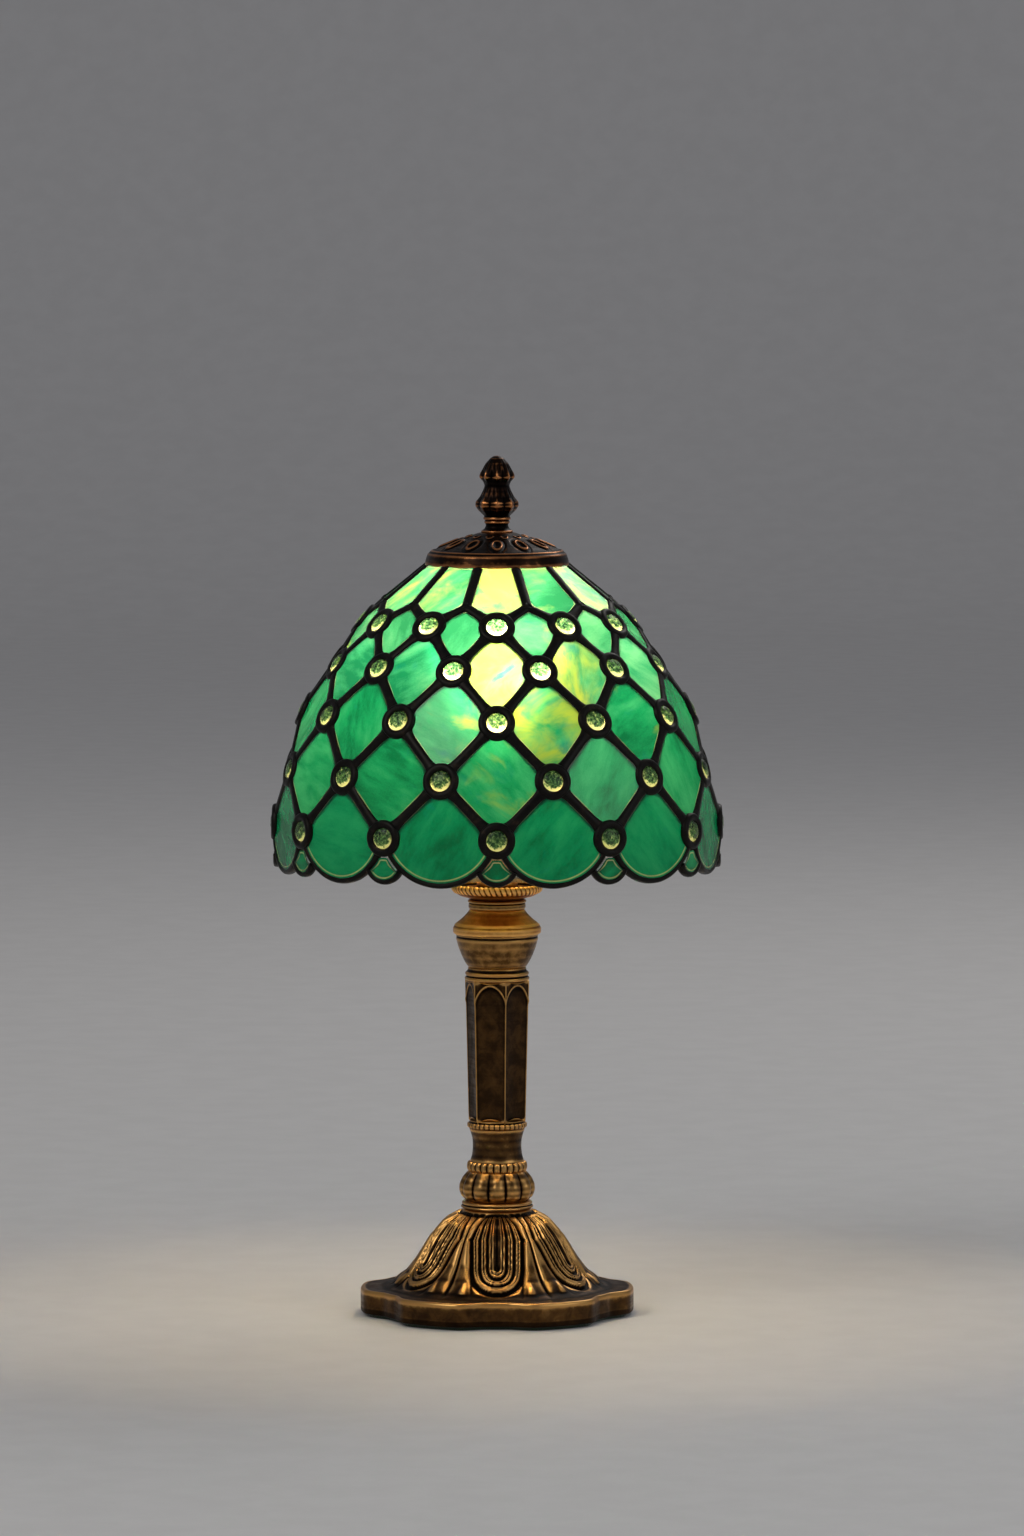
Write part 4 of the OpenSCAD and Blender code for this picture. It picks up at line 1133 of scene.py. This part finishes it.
def make_jewels():
    points, faces, rim, is_back = jewel_solid()
    second = [index for index, back in enumerate(is_back * PER_ROW) if back]
    on_dome = points[:, 2] > 1.4
    for i in range(FIRST_JEWEL, LAST_JEWEL + 1):
        parts = []
        for k in range(PER_ROW):
            start = Vector((k * 5.0, i * 3.0, 0))
            bumps = np.array([noise.noise(Vector(p * 0.9) + start) for p in points])
            bumpy = points.copy()
            bumpy[:, 2] = np.minimum(bumpy[:, 2] + JEWEL_BUMPS * bumps * on_dome, JEWEL_H)
            parts.append((in_plane(bumpy, *jewel_plane(i), ring_turn(i) + k * STEP), faces))
        piece = add_piece(f"jewels_{i - 1}", *joined(parts), "shade", "jewel", [f"jewels_row_{i - 1}"],
                          {"rim": np.tile(rim, PER_ROW)}, second, crease=50)
        merge_close(piece)


LEAD_SIDES = 12
LEAD_POWER = 2.5   # a bar's section is between an ellipse, 2, and a box
FLARE = 0.9
FLARE_FADE = 1.6
RING_POINTS = 44
SEAM_TOP_TRIM = 1.5
OVERLAP = 1.6      # how far a seam runs past a joint that has no jewel
BORDER_OUT = 0.95  # from the edge of the glass to the middle of its border
BORDER_HALF_D = 2.0
SCALLOP_HALF_W = 1.35
FAN_HALF_W = 1.3
UNEVEN = 0.12


def lead_bar(path, outward, half_w, half_d, closed=False):
    """A rounded bar of solder along a path. outward is the shade's outward direction at each point."""
    path = np.asarray(path, float)
    along = along_path(path, closed)
    outward = unit(outward - (outward * along).sum(-1, keepdims=True) * along)
    across = np.cross(outward, along)
    angle = full_circle(LEAD_SIDES)
    x, y = (np.sign(wave) * np.abs(wave) ** (2 / LEAD_POWER) for wave in (np.cos(angle), np.sin(angle)))
    half_w = np.broadcast_to(half_w, len(path))[:, None, None]
    points = path[:, None] + across[:, None] * x[None, :, None] * half_w
    points = points + outward[:, None] * y[None, :, None] * half_d
    faces = grid_faces(len(path), LEAD_SIDES, wrap_rows=closed)
    if not closed:
        end = (len(path) - 1) * LEAD_SIDES
        faces += [list(range(LEAD_SIDES))[::-1], [end + k for k in range(LEAD_SIDES)]]
    return points.reshape(-1, 3), faces


def lead_seam(start, stop, out, trim_start, trim_stop, flare_start, flare_stop):
    """A straight seam that flares where it runs into a jewel's ring."""
    length = np.linalg.norm(stop - start)
    share = 0.5 - 0.5 * np.cos(np.linspace(0, math.pi, 15))
    at = trim_start + (length - trim_start - trim_stop) * share
    path = start + (stop - start) / length * at[:, None]
    edge = RING_MIDDLE_R + RING_HALF_W - 0.6
    half_w = np.full(len(at), LEAD_HALF_W)
    for flares, from_joint in ((flare_start, at), (flare_stop, length - at)):
        half_w = half_w + flares * FLARE * np.exp(-np.clip(from_joint - edge, 0, None) / FLARE_FADE)
    return lead_bar(path, np.tile(out, (len(path), 1)), half_w, LEAD_HALF_D)


def lead_line(outline, plane, turn, half_w, half_d, closed=False):
    """A bar along a flat outline in a pane's plane."""
    path, above = (in_plane(np.column_stack([outline, 0 * outline[:, 0] + z]), *plane, turn)
                   for z in (0, 1))
    return lead_bar(path, above - path, half_w, half_d, closed)


def seam_out(i, turn):
    """The shade's outward direction between ring i and the next."""
    c, s = cos_sin(slope_between(i, i + 1))
    return at_turn(s, turn, c)


def lead_parts():
    """The seams, the jewels' rings and the borders, each as points and faces."""
    circle = arc((0, 0), RING_MIDDLE_R, 0, 360 - 360 / RING_POINTS, RING_POINTS - 1)
    lead_in = SCALLOP_LEAN + meeting_angle(SCALLOP_REACH, SCALLOP_R, RING_MIDDLE_R)
    scallop = arc((0, SCALLOP_Y), SCALLOP_R + BORDER_OUT, 180 + lead_in, 360 - lead_in, 40)
    fan = arc((0, FAN_ARC_Y), FAN_ARC_R + BORDER_OUT, -156, -24, 20)
    for turn in np.arange(PER_ROW) * STEP:
        side = turn + STEP / 2
        yield lead_seam(ring_joint(CROWN, side), ring_joint(FORK, side), seam_out(CROWN, side),
                        SEAM_TOP_TRIM, -OVERLAP, False, False)
        for i in range(FORK, LAST_JEWEL):
            here = turn + ring_turn(i)
            on_jewel = i != FORK
            trim = RING_MIDDLE_R if on_jewel else -OVERLAP
            for way in (-1, 1):
                out = seam_out(i, here + way * STEP / 4)
                yield lead_seam(ring_joint(i, here), ring_joint(i + 1, here + way * STEP / 2), out,
                                trim, RING_MIDDLE_R, on_jewel, True)
        for i in range(FIRST_JEWEL, LAST_JEWEL + 1):
            here = turn + ring_turn(i)
            yield lead_line(circle, jewel_plane(i), here, RING_HALF_W, RING_HALF_D, closed=True)
        yield lead_line(scallop, SKIRT_PLANE, side, SCALLOP_HALF_W, BORDER_HALF_D)
        yield lead_line(fan, FAN_PLANE, turn, FAN_HALF_W, BORDER_HALF_D)


def make_leading():
    points, faces = joined(list(lead_parts()))
    uneven = np.array([noise.noise(Vector(p / 4.5)) for p in points])
    middle = np.array([0, 0, RIM_Z + 40])
    points = points + unit(points - middle) * UNEVEN * uneven[:, None]
    add_piece("leading", points, faces, "shade", "solder", ["solder_lattice", "rim_binding"], crease=50)


# ---- Bulb ----


def make_bulb():
    low, high = height_of("bulb_glass")
    belly_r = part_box("bulb_glass")[1].x / MM
    belly_z = high - belly_r
    neck = raised(low, [(0, 0), (12.2, 0), (12.4, 3), (13.2, 9)])
    outline = np.vstack([neck, arc((0, belly_z), belly_r, -38, 90, 30)])
    outline[-1, 0] = 0
    points, faces, _wear = lathe(outline, columns=96, spacing=1.0, passes=4, closed=False)
    piece = add_piece("globe", points, faces, "bulb", "bulb_glass", ["bulb_glass"])
    merge_close(piece)


# ---- Stage, lights and camera, in metres ----

CAMERA_BACK = 3.9
CAMERA_UP = 0.56
AIM = (0.0067, 0, 0.246)
VIEW_HEIGHT = 0.688
SENSOR = 36
SWEEP_W = 24.0
SWEEP_FRONT = -30.0
SWEEP_BACK = 4.6
SWEEP_BEND = 1.4
SWEEP_TOP = 8.0
# Name, place, size, power and colour
LIGHTS = [
    ("key", (-1.5, -1.7, 1.9), 1.2, 16, (1.0, 0.97, 0.93)),
    ("fill", (2.0, -1.2, 1.2), 1.4, 7, (0.93, 0.96, 1.0)),
    ("back_light", (0.9, 1.6, 1.8), 1.0, 9, (1.0, 0.98, 0.95)),
]
LIT_POINT = Vector((0, 0, 0.2))


@look
def paper(tree):
    grain = ranged(tree, noisy(tree, 40, 4), 0.3, 0.7)
    return principled(tree, mixed(tree, grain, (0.76, 0.745, 0.725), (0.79, 0.775, 0.755)), 0.7)


def make_stage():
    """A pale floor that curves up into a backdrop."""
    angles = np.linspace(0, math.pi / 2, 13)
    line = [(SWEEP_FRONT, 0.0)]
    line += [(SWEEP_BACK + SWEEP_BEND * math.sin(a), SWEEP_BEND * (1 - math.cos(a))) for a in angles]
    line += [(SWEEP_BACK + SWEEP_BEND, SWEEP_TOP)]
    points = [(x, y, z) for y, z in line for x in (-SWEEP_W / 2, SWEEP_W / 2)]
    faces = [(2 * k, 2 * k + 1, 2 * k + 3, 2 * k + 2) for k in range(len(line) - 1)]
    mesh = bpy.data.meshes.new("studio_sweep")
    mesh.from_pydata(points, [], faces)
    mesh.polygons.foreach_set("use_smooth", [True] * len(mesh.polygons))
    mesh.materials.append(paper("studio_paper"))
    sweep = add_object("studio_sweep", mesh)


def make_lights():
    for name, place_at, size, power, colour in LIGHTS:
        light = bpy.data.lights.new(name, "AREA")
        light.size = size
        light.energy = power
        light.color = colour
        lamp = add_object(name, light)
        lamp.location = place_at
        lamp.rotation_euler = (LIT_POINT - Vector(place_at)).to_track_quat("-Z", "Y").to_euler()
    world = bpy.data.worlds.new("studio")
    world.use_nodes = True
    background = world.node_tree.nodes["Background"]
    background.inputs["Color"].default_value = (0.9, 0.92, 1.0, 1)
    background.inputs["Strength"].default_value = 0.22
    bpy.context.scene.world = world
    bpy.context.scene.view_settings.view_transform = "Standard"


def make_camera():
    data = bpy.data.cameras.new("camera")
    camera = add_object("camera", data)
    camera.location = (AIM[0], -CAMERA_BACK, CAMERA_UP)
    sight = Vector(AIM) - camera.location
    camera.rotation_euler = sight.to_track_quat("-Z", "Y").to_euler()
    data.sensor_fit = "VERTICAL"
    data.sensor_height = SENSOR
    data.lens = SENSOR * sight.length / VIEW_HEIGHT
    data.clip_end = 50
    bpy.context.scene.camera = camera


make_camera()
make_stage()
make_lights()
make_foot()
make_stem()
make_saucer()
make_bulb()
make_leading()
make_glass()
make_jewels()
make_cap()
make_finial()
